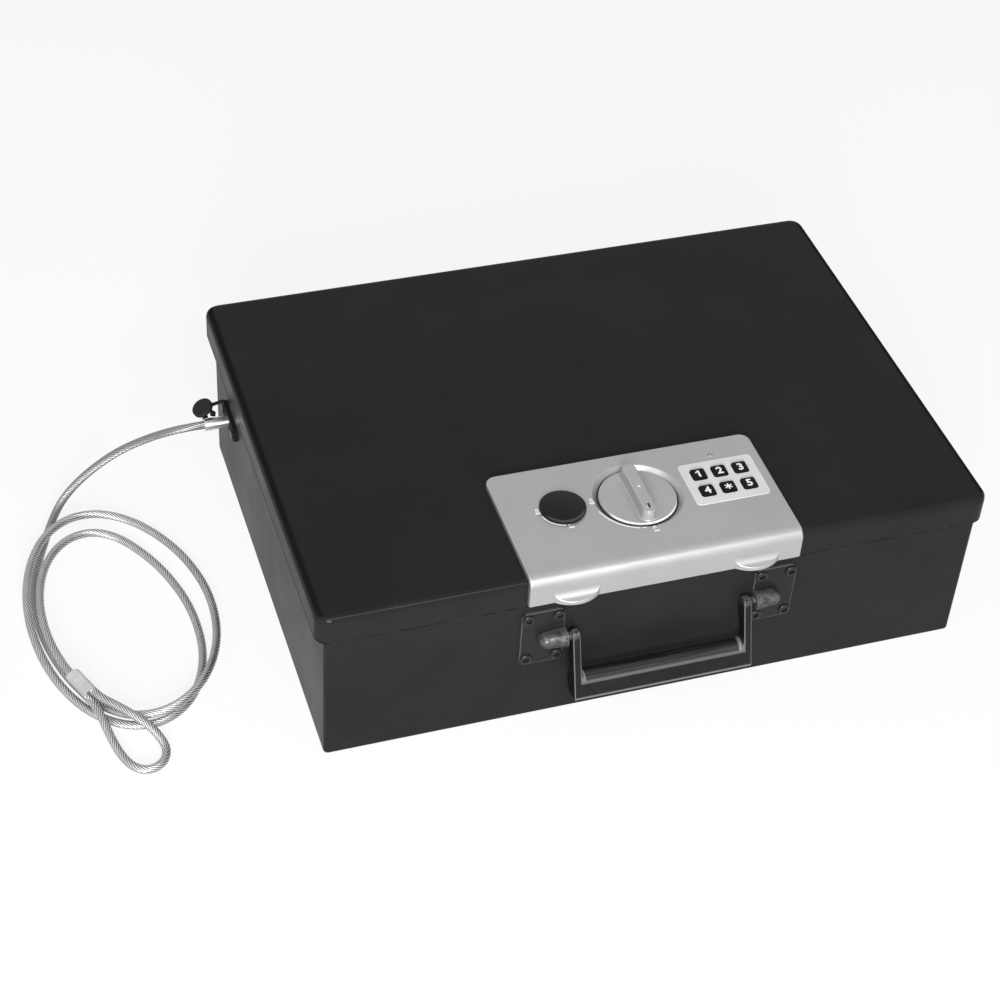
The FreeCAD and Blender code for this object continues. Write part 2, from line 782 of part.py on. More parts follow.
def keypad_label():
    middle_x = keypad_from_knob
    label = rounded_slab(middle_x - label_width / 2, middle_x + label_width / 2,
                         controls_y - label_depth / 2, controls_y + label_depth / 2,
                         panel_top, panel_top + label_sheet, label_corner_radius)
    cuts = [key_column(x, y, key_size + 2 * slide_clearance, panel_top - cut_run, panel_top + cut_run,
                       key_corner_radius + slide_clearance) for x, y in key_places().values()]
    return label.cut(group(cuts))


def key_button(x, y):
    top = panel_top + label_sheet + key_stand
    flange_top = box_height - key_flange_gap
    flange_bottom = flange_top - key_flange_sheet
    stem = key_column(x, y, key_size, flange_bottom, top, key_corner_radius)
    stem = fillet_where(stem, key_stand / 2, lambda b: b.ZMin > top - key_stand / 4)
    flange = key_column(x, y, key_size + 2 * slide_clearance + 2 * key_flange, flange_bottom, flange_top,
                        key_corner_radius + key_flange)
    return joined([stem, flange])


def keypad_board():
    board = box(*board_box(0), board_top - board_sheet, board_top)
    holes = [post(board_stake_radius + hole_clearance, x, y, board_top - cut_run, board_top + cut_run)
             for x, y in board_post_places()]
    return board.cut(group(holes))


def status_lamp():
    bulb = post(lamp_radius, keypad_from_knob, controls_y + lamp_back, board_top, panel_top + lamp_stand)
    return fillet_where(bulb, lamp_radius / 2, lambda b: b.ZMin > panel_top)


# Lock case and what it holds

def battery_bay():
    x1 = case_right - case_wall - battery_side_gap
    x0 = x1 - 2 * (cell_length + cell_nub) - 2 * battery_end_gap
    y1 = case_rear - case_wall - battery_wall_gap
    y0 = y1 - 4 * cell_radius - cell_gap
    return x0, x1, y0, y1


def door_box():
    x0, x1, y0, y1 = battery_bay()
    return x0 - door_margin, x1 + door_margin, y0 - door_margin, y1


def lock_case():
    x0, x1 = -case_left, case_right
    outer = rounded_slab(x0, x1, case_front, case_rear, case_bottom, lid_under, case_corner_radius)
    inner = rounded_slab(x0 + case_wall, x1 - case_wall, case_front + case_wall, case_rear - case_wall,
                         case_floor, lid_under + case_wall, case_corner_radius - case_wall)
    pieces = [outer.cut(inner)]
    for x, y in stud_places():
        inward = x0 + case_wall / 2 if x < 0 else x1 - case_wall / 2
        pieces.append(box(min(inward, x - ear_length / 2), max(inward, x + ear_length / 2), y - ear_width / 2,
                          y + ear_width / 2, lid_under - ear_sheet, lid_under))
    door_x0, door_x1, door_y0, door_y1 = door_box()
    rail_bottom = case_bottom - door_sheet - slide_clearance - rail_lip_sheet
    for edge, outward in ((door_x0, -1), (door_x1, 1)):
        wall_in = edge + outward * slide_clearance
        wall_out = wall_in + outward * rail_wall
        lip_in = edge - outward * rail_lip
        pieces.append(box(min(wall_in, wall_out), max(wall_in, wall_out), door_y0, door_y1,
                          rail_bottom, case_bottom))
        pieces.append(box(min(lip_in, wall_out), max(lip_in, wall_out), door_y0, door_y1,
                          rail_bottom, rail_bottom + rail_lip_sheet))
    bay_x0, bay_x1, bay_y0, bay_y1 = battery_bay()
    stop_x = bay_x0 - contact_sheet
    pieces.append(box(stop_x - case_wall, stop_x, bay_y0, case_rear - case_wall / 2,
                      case_floor - case_wall / 2, case_floor + contact_height))
    case = joined(pieces)
    cuts = [box(bay_x0, bay_x1, bay_y0, bay_y1, case_bottom - case_wall, case_floor + case_wall / 2)]
    for x in finger_middles():
        cuts.append(box(x - finger_width / 2 - slide_clearance, x + finger_width / 2 + slide_clearance,
                        case_front - case_wall, case_front + 2 * case_wall,
                        bolt_bottom - slide_clearance, bolt_top + slide_clearance))
    for x, y in stud_places():
        cuts.append(post(stud_radius + hole_clearance, x, y, lid_under - 2 * ear_sheet, box_height))
    return case.cut(group(cuts))


def lid_studs():
    bottom = lid_under - ear_sheet - nut_height - stud_tail
    return group([post(stud_radius, x, y, bottom, lid_under) for x, y in stud_places()])


def case_nuts():
    nuts = []
    for x, y in stud_places():
        top = lid_under - ear_sheet
        nut = hexagon(nut_flats, nut_height, x, y, top - nut_height)
        nuts.append(nut.cut(post(stud_radius + running_fit, x, y, top - 2 * nut_height, top + nut_height)))
    return group(nuts)


def batteries():
    x0, _, y0, _ = battery_bay()
    cells = []
    for row in range(2):
        y = y0 + cell_radius + row * (2 * cell_radius + cell_gap)
        z = case_bottom + cell_lift + cell_radius
        for column in range(2):
            x = x0 + battery_end_gap + column * (cell_length + cell_nub)
            can = Part.makeCylinder(cell_radius, cell_length, Vec(x, y, z), along_x)
            nub = Part.makeCylinder(cell_nub_radius, cell_nub, Vec(x + cell_length, y, z), along_x)
            cells.append(joined([can, nub]))
    return group(cells)


def battery_contacts():
    x0, _, y0, _ = battery_bay()
    strips = []
    for row in range(2):
        y = y0 + cell_radius + row * (2 * cell_radius + cell_gap)
        strips.append(box(x0 - contact_sheet, x0, y - contact_width / 2, y + contact_width / 2,
                          case_floor, case_floor + contact_height))
    return group(strips)


def battery_door():
    x0, x1, y0, y1 = door_box()
    return box(x0, x1, y0, y1, case_bottom - door_sheet, case_bottom)


def solenoid_place():
    return -solenoid_from_knob, controls_y - solenoid_front


def solenoid_body():
    x, y = solenoid_place()
    half = solenoid_size / 2
    top = case_floor + solenoid_height
    body = box(x - half, x + half, y - half, y + half, case_floor, top)
    return body.cut(post(plunger_radius + running_fit, x, y, top - plunger_depth, top + plunger_depth))


def solenoid_plunger():
    x, y = solenoid_place()
    foot = case_floor + solenoid_height - plunger_depth / 2
    return post(plunger_radius, x, y, foot, bolt_bottom - plunger_gap)


# Handle and brackets

def bracket(side):
    x = side * bracket_spread
    half_x = bracket_width / 2
    half_z = bracket_height / 2
    plate = rounded_slab(x - half_x, x + half_x, bracket_middle - half_z, bracket_middle + half_z,
                         0, bracket_sheet, bracket_corner_radius)
    plate = fillet_where(plate, bracket_edge_radius, lambda b: b.ZMin > bracket_sheet / 2)
    plate.rotate(Vec(0, 0, 0), along_x, 90)
    plate.translate(Vec(0, base_front, 0))
    inner_x = x - side * half_x
    barrel_length = boss_length - boss_tip_radius
    round_x = inner_x + side * barrel_length
    face_y = base_front - bracket_sheet / 2
    barrel = Part.makeCone(boss_radius, boss_tip_radius, barrel_length, Vec(inner_x, pivot_y, pivot_z),
                           along_x * side)
    nose = Part.makeSphere(boss_tip_radius, Vec(round_x, pivot_y, pivot_z))
    web_corners = [Vec(inner_x, pivot_y, pivot_z - boss_radius), Vec(inner_x, pivot_y, pivot_z + boss_radius),
                   Vec(round_x, pivot_y, pivot_z + boss_tip_radius),
                   Vec(round_x, pivot_y, pivot_z - boss_tip_radius),
                   Vec(inner_x, pivot_y, pivot_z - boss_radius)]
    web = Part.Face(Part.makePolygon(web_corners)).extrude(along_y * (face_y - pivot_y))
    heel = Part.makeCylinder(boss_tip_radius, face_y - pivot_y, Vec(round_x, pivot_y, pivot_z), along_y)
    shape = joined([plate, barrel, nose, web, heel])
    behind = box(x - bracket_width, x + bracket_width, base_front, base_front + boss_radius, 0, box_height)
    cuts = [behind, Part.makeCylinder(handle_pin_radius + running_fit, handle_pin_length + slide_clearance,
                                      Vec(inner_x, pivot_y, pivot_z), along_x * side)]
    for rivet_x, rivet_z in rivet_places():
        cuts.append(bore_along(along_y, rivet_shank_radius + hole_clearance, rivet_x, base_front, rivet_z))
    return shape.cut(group(cuts))


def wall_rivet():
    grip = bracket_sheet + base_sheet
    cap = post(rivet_head_radius, 0, 0, 0, rivet_head)
    cap = fillet_where(cap, rivet_edge_radius, lambda b: b.ZMin > rivet_head / 2)
    cap = cap.cut(post(rivet_dimple_radius, 0, 0, rivet_head - rivet_dimple, cut_run))
    shank = post(rivet_shank_radius, 0, 0, -grip, 0)
    tail = post(rivet_clinch_radius, 0, 0, -grip - rivet_clinch, -grip)
    return joined([cap, shank, tail])


def bracket_rivets():
    rivets = []
    for x, z in rivet_places():
        rivet = wall_rivet()
        rivet.rotate(Vec(0, 0, 0), along_x, 90)
        rivet.translate(Vec(x, base_front - bracket_sheet, z))
        rivets.append(rivet)
    return group(rivets)


def handle_leg(side):
    hub_radius = -heel_gap + base_front - pivot_y
    half = leg_depth / 2
    tilt = math.radians(leg_tilt)
    contact = Vec(0, hub_radius * math.cos(tilt), hub_radius * math.sin(tilt))
    heel = contact + Vec(0, math.sin(tilt), -math.cos(tilt)) * heel_length
    outline = Part.makePolygon([Vec(0, -half, 0), Vec(0, -half, -leg_length), Vec(0, half, -leg_length),
                                Vec(0, half, heel.z - heel_length / 2), heel, contact, Vec(0, 0, 0),
                                Vec(0, -half, 0)])
    leg = Part.Face(outline).extrude(Vec(leg_width, 0, 0))
    hub = Part.makeCylinder(min(hub_radius, half), leg_width, Vec(0, 0, 0), along_x)
    leg = joined([leg, hub])
    leg.translate(Vec(side * handle_half - (leg_width if side > 0 else 0), 0, 0))
    pin = Part.makeCylinder(handle_pin_radius, handle_gap + handle_pin_length, Vec(side * handle_half, 0, 0),
                            along_x * side)
    return joined([leg, pin])


def grip_shoulder():
    return grip_bar_height - grip_bar_round - leg_length


def grip_top(x, radius):
    shoulder = grip_shoulder()
    front_y = grip_ledge - leg_depth / 2 + grip_bar_round
    rear_y = grip_bar_depth - leg_depth / 2 - grip_bar_round
    slant = radius * math.sqrt(0.5)
    front = Vec(x, front_y - radius, shoulder)
    rear = Vec(x, rear_y + radius, shoulder)
    crest_front = Vec(x, front_y, shoulder + radius)
    crest_rear = Vec(x, rear_y, shoulder + radius)
    return Part.Wire([Part.Arc(front, Vec(x, front_y - slant, shoulder + slant), crest_front).toShape(),
                      Part.LineSegment(crest_front, crest_rear).toShape(),
                      Part.Arc(crest_rear, Vec(x, rear_y + slant, shoulder + slant), rear).toShape(),
                      Part.LineSegment(rear, front).toShape()])


def grip_bar():
    front = -leg_depth / 2
    rear = front + grip_bar_depth
    low = -leg_length
    middle_in = grip_bar_round * (1 - math.sqrt(0.5))
    foot_end = Vec(-handle_half, rear - grip_bar_round, low)
    heel_end = Vec(-handle_half, rear, low + grip_bar_round)
    corners = [heel_end, Vec(-handle_half, rear, grip_shoulder()), Vec(-handle_half, front, grip_shoulder()),
               Vec(-handle_half, front, low), foot_end]
    heel_middle = Vec(-handle_half, rear - middle_in, low + middle_in)
    profile = Part.Wire([Part.Arc(foot_end, heel_middle, heel_end).toShape()]
                        + [Part.LineSegment(a, b).toShape() for a, b in zip(corners, corners[1:])])
    crown = grip_top(-handle_half, grip_bar_round)
    length = Vec(2 * handle_half, 0, 0)
    return [Part.Face(profile).extrude(length), Part.Face(crown).extrude(length)]


def grip_flare(side):
    inner = handle_half - leg_width
    sections = []
    for step in range(flare_steps + 1):
        angle = math.pi / 2 * step / flare_steps
        reach = grip_end_flare * (1 - math.cos(angle))
        grow = grip_end_flare * (1 - math.sin(angle)) - flare_sink
        sections.append(grip_top(side * (inner - reach), grip_bar_round + grow))
    room = box(-handle_half, handle_half, grip_ledge - leg_depth / 2, leg_depth / 2, grip_shoulder(), 0)
    return Part.makeLoft(sections, True, True).common(room)


def handle():
    shape = joined(grip_bar() + [handle_leg(-1), handle_leg(1)])
    shape = fillet_where(shape, handle_edge_radius, lambda b: b.YMax < handle_edge_radius / 2 - leg_depth / 2)
    shape = joined([shape, grip_flare(-1), grip_flare(1)])
    shape.rotate(Vec(0, 0, 0), along_x, -leg_tilt)
    shape.translate(Vec(0, pivot_y, pivot_z))
    return shape


# Cable anchor

def anchor_plate():
    half_y = anchor_length / 2
    half_z = anchor_height / 2
    plate = rounded_slab(anchor_y - half_y, anchor_y + half_y, anchor_z - half_z, anchor_z + half_z, 0,
                         anchor_sheet, half_z - anchor_end_flat / 2)
    plate = fillet_where(plate, anchor_edge_radius, lambda b: b.ZMax < anchor_sheet / 2)
    plate.rotate(Vec(0, 0, 0), Vec(1, 1, 1), 120)
    plate.translate(Vec(anchor_face, 0, 0))
    cuts = [bore_along(along_x, anchor_rivet_shank + hole_clearance, anchor_face, y, anchor_z)
            for y in anchor_rivet_ys()]
    cuts.append(bore_along(along_x, stud_inside_radius + hole_clearance, anchor_face, anchor_y, anchor_z))
    return plate.cut(group(cuts))


def anchor_rivets():
    rivets = []
    outer_x = anchor_face - anchor_rivet_head
    for y in anchor_rivet_ys():
        head = Part.makeCylinder(anchor_rivet_radius, anchor_rivet_head, Vec(outer_x, y, anchor_z), along_x)
        head = fillet_where(head, anchor_rivet_head / 2, lambda b: b.XMax < outer_x + anchor_rivet_head / 4)
        shank = Part.makeCylinder(anchor_rivet_shank, anchor_sheet + base_sheet,
                                  Vec(anchor_face, y, anchor_z), along_x)
        tail = Part.makeCylinder(anchor_rivet_radius, anchor_rivet_head,
                                 Vec(-base_side + base_sheet, y, anchor_z), along_x)
        rivets.append(joined([head, shank, tail]))
    return group(rivets)


def ferrule_outer_x():
    return anchor_face - ferrule_length


def anchor_ferrule():
    outer = Vec(ferrule_outer_x(), anchor_y, anchor_z)
    inner = outer + along_x * ferrule_lip
    sleeve = Part.makeCylinder(ferrule_radius, ferrule_length - ferrule_lip, inner, along_x)
    collar = Part.makeCylinder(ferrule_radius + ferrule_collar_step, ferrule_collar_length, outer, along_x)
    collar = fillet_where(collar, ferrule_lip, lambda b: b.XMax < outer.x + ferrule_lip)
    stud_length = anchor_sheet + base_sheet + washer_sheet + anchor_nut + anchor_stud_tail
    stud = Part.makeCylinder(stud_inside_radius, stud_length, Vec(anchor_face, anchor_y, anchor_z), along_x)
    return joined([collar, sleeve, stud])


def anchor_washer():
    start = Vec(-base_side + base_sheet, anchor_y, anchor_z)
    ring = Part.makeCylinder(washer_radius, washer_sheet, start, along_x)
    return ring.cut(Part.makeCylinder(stud_inside_radius + hole_clearance, washer_sheet, start, along_x))


def anchor_nut_piece():
    start_x = -base_side + base_sheet + washer_sheet
    nut = hexagon(anchor_nut_flats, anchor_nut, 0, 0, 0)
    nut = nut.cut(post(stud_inside_radius + running_fit, 0, 0, -anchor_nut, 2 * anchor_nut))
    nut.rotate(Vec(0, 0, 0), along_y, 90)
    nut.translate(Vec(start_x, anchor_y, anchor_z))
    return nut


def hole_plug():
    disc = post(plug_radius, 0, 0, -plug_sheet, 0)
    disc = fillet_where(disc, plug_edge_radius, lambda b: b.ZMin > -plug_edge_radius / 2)
    pieces = [disc]
    for side in (-1, 1):
        low = -plug_sheet - prong_length
        pieces.append(post(prong_radius, side * prong_spread, 0, low + prong_barb / 2, -plug_sheet / 2))
        tip = Vec(side * prong_spread, 0, low)
        pieces.append(Part.makeCone(prong_radius / 2, prong_barb_radius, prong_barb, tip))
    plug = joined(pieces)
    facing = Vec(plug_facing)
    facing.normalize()
    plug.Placement = FreeCAD.Placement(plug_centre, FreeCAD.Rotation(along_z, facing))
    foot_x = anchor_face
    foot_y = anchor_y + anchor_rivet_pitch / 2 - anchor_rivet_radius
    foot_bottom = anchor_z + anchor_height / 2 - strap_foot
    knee = Vec(foot_x - strap_sheet / 2, foot_y, plug_centre.z - plug_sheet / 2)
    middle = plug_centre - facing * (plug_sheet / 2)
    arm = strap_run(middle, knee)
    tab = box(foot_x - strap_sheet, foot_x, foot_y - strap_width / 2, foot_y + strap_width / 2,
              foot_bottom, knee.z + strap_sheet / 2)
    return joined([plug, arm, tab])


def strap_run(start, end):
    run = end - start
    bar = box(0, run.Length, -strap_width / 2, strap_width / 2, -strap_sheet / 2, strap_sheet / 2)
    bar.Placement = FreeCAD.Placement(start, FreeCAD.Rotation(along_x, run))
    return bar


# Cable

def heading(degrees):
    return Vec(math.cos(math.radians(degrees)), math.sin(math.radians(degrees)), 0)


def tube(path, start, direction):
    ring = Part.Wire([Part.makeCircle(cable_radius, start, direction)])
    return path.makePipeShell([ring], True, False)


def rounded_route(points):
    edges = []
    radii = []
    last = points[0]
    for before, corner, after in zip(points, points[1:], points[2:]):
        back = before - corner
        ahead = after - corner
        trim = arc_share * min(back.Length, ahead.Length)
        turn = math.pi - back.getAngle(ahead)
        back.normalize()
        ahead.normalize()
        radius = trim / math.tan(turn / 2)
        inward = back + ahead
        inward.normalize()
        middle = corner + inward * (radius / math.cos(turn / 2) - radius)
        edges.append(Part.LineSegment(last, corner + back * trim).toShape())
        edges.append(Part.Arc(corner + back * trim, middle, corner + ahead * trim).toShape())
        last = corner + ahead * trim
        radii.append(radius)
    edges.append(Part.LineSegment(last, points[-1]).toShape())
    return Part.Wire(edges), radii


def biarc(start, start_way, end, end_way):
    span = end - start
    ways = start_way + end_way
    square = 2 * (1 - start_way.dot(end_way))
    along = span.dot(ways)
    if square < 1e-9:
        reach = span.dot(span) / (2 * along)
    else:
        reach = (math.sqrt(along * along + square * span.dot(span)) - along) / square
    first = start + start_way * reach
    second = end - end_way * reach
    meeting = (first + second) * 0.5
    return [arc_between(start, first, meeting), arc_between(meeting, second, end)]


def arc_between(start, corner, end):
    chord_middle = (start + end) * 0.5
    toward = corner - chord_middle
    half_chord = (end - start).Length / 2
    rise = toward.Length
    sagitta = half_chord * (math.hypot(half_chord, rise) - half_chord) / rise
    toward.normalize()
    return Part.Arc(start, chord_middle + toward * sagitta, end).toShape()


def coil_stations():
    stations = []
    for number, (reach, lag, layer) in enumerate(zip(coil_reach, coil_lag, coil_layer)):
        angle = math.radians(coil_first_angle + coil_step_angle * number + lag)
        stations.append(coil_middle + Vec((coil_half_width + reach) * math.cos(angle),
                                          (coil_half_depth + reach) * math.sin(angle),
                                          cable_low + layer * coil_layer_rise))
    stations.append(crimp_start + Vec(0, 0, cable_low + crimp_layer_rise))
    return stations


def coil_ways(stations):
    ways = [heading(coil_start_heading)]
    for before, after in zip(stations, stations[2:]):
        way = after - before
        way.z = 0
        ways.append(way.normalize())
    ways.append(heading(crimp_heading))
    return ways


def coil_path():
    stations = coil_stations()
    ways = coil_ways(stations)
    edges = []
    for number in range(len(stations) - 1):
        edges += biarc(stations[number], ways[number], stations[number + 1], ways[number + 1])
    return Part.Wire(edges), stations[0], ways[0]


def least_gap(path):
    points = path.discretize(Distance=gap_sample_step)
    skip = int(gap_skip_diameters * 2 * cable_radius / gap_sample_step)
    count = len(points)
    least = min((points[a] - points[b]).Length for a in range(count) for b in range(a + skip, count))
    return least - 2 * cable_radius


def lead_path():
    first = Vec(ferrule_outer_x(), anchor_y, anchor_z)
    last = coil_stations()[0]
    return rounded_route([first] + lead_points + [last - heading(coil_start_heading) * coil_run_in, last])


def crimp_end():
    return crimp_start + heading(crimp_heading) * crimp_length + Vec(0, 0, cable_low + crimp_layer_rise)


def eye_path():
    forward = heading(crimp_heading)
    offset = heading(crimp_heading + 90) * eye_half_across + along_z * eye_half_up
    out_start = crimp_end() + offset
    in_end = crimp_end() - offset
    return rounded_route([out_start, out_start + forward * eye_run_out] + eye_points
                         + [in_end + forward * eye_run_out, in_end])


def end_ferrule():
    half_width = crimp_width / 2
    half_height = crimp_height / 2
    sleeve = rounded_slab(-half_width, half_width, -half_height, half_height, 0, crimp_length, crimp_round)
    placing = FreeCAD.Rotation(along_z, crimp_heading - 90) * FreeCAD.Rotation(along_x, -90)
    sleeve.Placement = FreeCAD.Placement(crimp_start + Vec(0, 0, cable_low + crimp_layer_rise), placing)
    return sleeve


def cable_pieces():
    lead, lead_radii = lead_path()
    coil, coil_start, coil_way = coil_path()
    eye, eye_radii = eye_path()
    print("lead length", round(lead.Length, 1), "radii", [round(r, 1) for r in lead_radii])
    print("coil length", round(coil.Length, 1), "least gap", round(least_gap(coil), 2),
          "radii", [round(edge.Curve.Radius, 1) for edge in coil.Edges])
    print("eye length", round(eye.Length, 1), "radii", [round(r, 1) for r in eye_radii])
    pieces = {"cable_lead": tube(lead, lead.Edges[0].Vertexes[0].Point, lead.Edges[0].tangentAt(0)),
              "cable_coil": tube(coil, coil_start, coil_way),
              "cable_eye": tube(eye, eye.Edges[0].Vertexes[0].Point, eye.Edges[0].tangentAt(0))}
    for (node, piece), path in zip(pieces.items(), (lead, coil, eye)):
        ideal = math.pi * cable_radius ** 2 * path.Length
        print(node, "volume over section times length", round(piece.Volume / ideal, 4))
    return pieces


def main():
    os.makedirs("parts", exist_ok=True)
    pieces = {"base_shell": base_shell(), "lid_shell": lid_shell(), "hinge_base_leaf": hinge_base_leaf(),
              "hinge_lid_leaf": hinge_lid_leaf(), "hinge_pin": hinge_pin(), "lock_panel": lock_panel(),
              "panel_screws": panel_screws(), "dial_knob": dial_knob(), "knob_spindle": knob_spindle(),
              "crank_disc": crank_disc(), "bolt_bar": bolt_bar(), "key_cover": key_cover(),
              "override_body": override_body(), "override_nut": override_nut(),
              "override_core": override_core(), "keypad_label": keypad_label(),
              "keypad_board": keypad_board(), "status_lamp": status_lamp(), "lock_case": lock_case(),
              "lid_studs": lid_studs(), "case_nuts": case_nuts(), "batteries": batteries(),
              "battery_contacts": battery_contacts(), "battery_door": battery_door(),
              "solenoid_body": solenoid_body(), "solenoid_plunger": solenoid_plunger(),
              "bracket_left": bracket(-1), "bracket_right": bracket(1), "bracket_rivets": bracket_rivets(),
              "handle": handle(), "anchor_plate": anchor_plate(), "anchor_rivets": anchor_rivets(),
              "anchor_ferrule": anchor_ferrule(), "anchor_washer": anchor_washer(),
              "anchor_nut": anchor_nut_piece(), "hole_plug": hole_plug(), "end_ferrule": end_ferrule()}
    for name, (x, y) in key_places().items():
        pieces[name] = key_button(x, y)
    pieces.update(cable_pieces())
    for node, shape in pieces.items():
        print(node, "valid" if shape.isValid() else "NOT VALID", len(shape.Solids), round(shape.Volume, 1))
        export(node, shape)


main()
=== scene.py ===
import math

import bpy
import numpy as np
from mathutils import Matrix, Vector


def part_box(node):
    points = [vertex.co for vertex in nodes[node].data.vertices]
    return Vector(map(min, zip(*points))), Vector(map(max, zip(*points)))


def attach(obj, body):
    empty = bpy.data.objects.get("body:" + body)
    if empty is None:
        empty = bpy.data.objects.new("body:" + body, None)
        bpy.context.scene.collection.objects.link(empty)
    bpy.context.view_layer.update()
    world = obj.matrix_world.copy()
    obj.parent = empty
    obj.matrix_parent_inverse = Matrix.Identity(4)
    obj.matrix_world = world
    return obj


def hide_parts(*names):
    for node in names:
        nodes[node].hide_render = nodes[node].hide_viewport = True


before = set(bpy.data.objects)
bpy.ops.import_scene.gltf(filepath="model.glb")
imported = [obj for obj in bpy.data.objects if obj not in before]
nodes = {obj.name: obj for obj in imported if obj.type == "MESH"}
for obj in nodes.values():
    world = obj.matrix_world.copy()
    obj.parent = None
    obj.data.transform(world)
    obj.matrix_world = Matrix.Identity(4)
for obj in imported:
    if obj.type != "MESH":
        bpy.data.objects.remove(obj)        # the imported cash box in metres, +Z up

scene = bpy.context.scene
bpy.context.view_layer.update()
mm = 0.001
print("frame:", len(nodes), "nodes")


# Mesh helpers

def linkMesh(name, mesh, material, body):
    piece = bpy.data.objects.new(name, mesh)
    scene.collection.objects.link(piece)
    mesh.materials.clear()
    mesh.materials.append(material)
    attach(piece, body)
    return piece


def gridFaces(rings, columns, looped=False):
    # quads between the rings of a tube of points, with the last ring joined to the first where looped
    index = np.arange(rings * columns).reshape(rings, columns)
    if looped:
        index = np.vstack([index, index[:1]])
    after = np.roll(index, -1, axis=1)
    return np.stack([index[:-1], after[:-1], after[1:], index[1:]], axis=-1).reshape(-1, 4)


def meshFrom(name, points, faces, smooth=True):
    mesh = bpy.data.meshes.new(name)
    mesh.from_pydata(np.asarray(points).reshape(-1, 3).tolist(), [], [list(face) for face in faces])
    mesh.polygons.foreach_set("use_smooth", np.full(len(mesh.polygons), smooth))
    mesh.update()
    return mesh


def curveMesh(name, curve):
    holder = bpy.data.objects.new(name, curve)
    scene.collection.objects.link(holder)
    mesh = bpy.data.meshes.new_from_object(holder)
    bpy.data.objects.remove(holder)
    return mesh


def meshPoints(mesh):
    points = np.empty(len(mesh.vertices) * 3)
    mesh.vertices.foreach_get("co", points)
    return points.reshape(-1, 3)


def unit(vectors):
    return vectors / np.linalg.norm(vectors, axis=-1, keepdims=True)


def arcPoints(middle, radius, start, end, count):
    # points on a circle between two angles in degrees
    angle = np.radians(np.linspace(start, end, count))
    return np.array(middle) + radius * np.stack([np.cos(angle), np.sin(angle)], axis=-1)


def ribbonMesh(name, paths, width, low, high):
    # flat strips, each with four corners at every point of its path, half the width to either side
    points, faces, first = [], [], 0
    for path in paths:
        path = np.asarray(path, float)
        way = unit(np.gradient(path, axis=0))
        aside = np.stack([-way[:, 1], way[:, 0]], axis=-1) * width / 2
        corners = [np.c_[path + side * aside, np.full(len(path), height)]
                   for side, height in ((1, low), (-1, low), (-1, high), (1, high))]
        points.append(np.stack(corners, axis=1).reshape(-1, 3))
        last = first + 4 * (len(path) - 1)
        faces += (gridFaces(len(path), 4) + first).tolist()
        faces += [[first + 3, first + 2, first + 1, first], [last, last + 1, last + 2, last + 3]]
        first = last + 4
    return meshFrom(name, np.concatenate(points), faces, False)


def plateMesh(name, outline, middle, low, high):
    # a flat plate inside an outline that can all be seen from its middle: two fans and a wall
    count = len(outline)
    points = [np.c_[outline, np.full(count, height)] for height in (low, high)]
    points.append(np.array([[*middle, low], [*middle, high]]))
    index = np.arange(count)
    after = np.roll(index, -1)
    faces = np.stack([index, after, after + count, index + count], axis=-1).tolist()
    faces += np.stack([after, index, np.full(count, 2 * count)], axis=-1).tolist()
    faces += np.stack([index + count, after + count, np.full(count, 2 * count + 1)], axis=-1).tolist()
    return meshFrom(name, np.concatenate(points), faces, False)


def turnedMesh(name, middle, profile, count):
    # a closed profile of radius and height pairs turned round an upright axis
    angle = np.linspace(0, 2 * math.pi, count, endpoint=False)
    radius, height = np.array(profile).T
    x, y = middle
    points = np.stack([x + radius[:, None] * np.cos(angle), y + radius[:, None] * np.sin(angle),
                       np.repeat(height[:, None], count, axis=1)], axis=-1)
    return meshFrom(name, points, gridFaces(len(profile), count, True))


# Shader helpers

def setInputs(node, values):
    for name, value in values.items():
        node.inputs[name].default_value = value
    return node


def addNode(tree, kind, inputs=None, **settings):
    node = tree.nodes.new(kind)
    for name, value in settings.items():
        setattr(node, name, value)
    return setInputs(node, inputs or {})


def join(tree, source, target):
    tree.links.new(source, target)


def mathNode(tree, operation, *values):
    node = addNode(tree, "ShaderNodeMath", operation=operation)
    for socket, value in zip(node.inputs, values):
        if isinstance(value, (int, float)):
            socket.default_value = value
        else:
            join(tree, value, socket)
    return node.outputs[0]


def times(tree, first, second):
    return mathNode(tree, "MULTIPLY", first, second)


def minus(tree, first, second):
    return mathNode(tree, "SUBTRACT", first, second)


def larger(tree, first, second):
    return mathNode(tree, "MAXIMUM", first, second)


def smaller(tree, first, second):
    return mathNode(tree, "MINIMUM", first, second)


def apart(tree, first, second):
    # how far two values lie from one another
    return mathNode(tree, "ABSOLUTE", minus(tree, first, second))


def spread(tree, value, low, high, newLow=0.0, newHigh=1.0):
    # value between low and high, read smoothly as newLow to newHigh
    limits = {"From Min": low, "From Max": high, "To Min": newLow, "To Max": newHigh}
    node = addNode(tree, "ShaderNodeMapRange", limits, interpolation_type="SMOOTHSTEP")
    join(tree, value, node.inputs["Value"])
    return node.outputs["Result"]


def mixColour(tree, share, first, second):
    node = addNode(tree, "ShaderNodeMix", data_type="RGBA")
    join(tree, share, node.inputs[0])
    for socket, value in ((node.inputs[6], first), (node.inputs[7], second)):
        if isinstance(value, tuple):
            socket.default_value = (*value, 1.0)
        else:
            join(tree, value, socket)
    return node.outputs[2]


def objectPlace(tree):
    return addNode(tree, "ShaderNodeTexCoord").outputs["Object"]


def splitAxes(tree, place):
    parts = addNode(tree, "ShaderNodeSeparateXYZ")
    join(tree, place, parts.inputs[0])
    return parts.outputs


def noiseAt(tree, place, scale, detail, roughness):
    node = addNode(tree, "ShaderNodeTexNoise", {"Scale": scale, "Detail": detail, "Roughness": roughness})
    join(tree, place, node.inputs["Vector"])
    return node.outputs["Fac"]


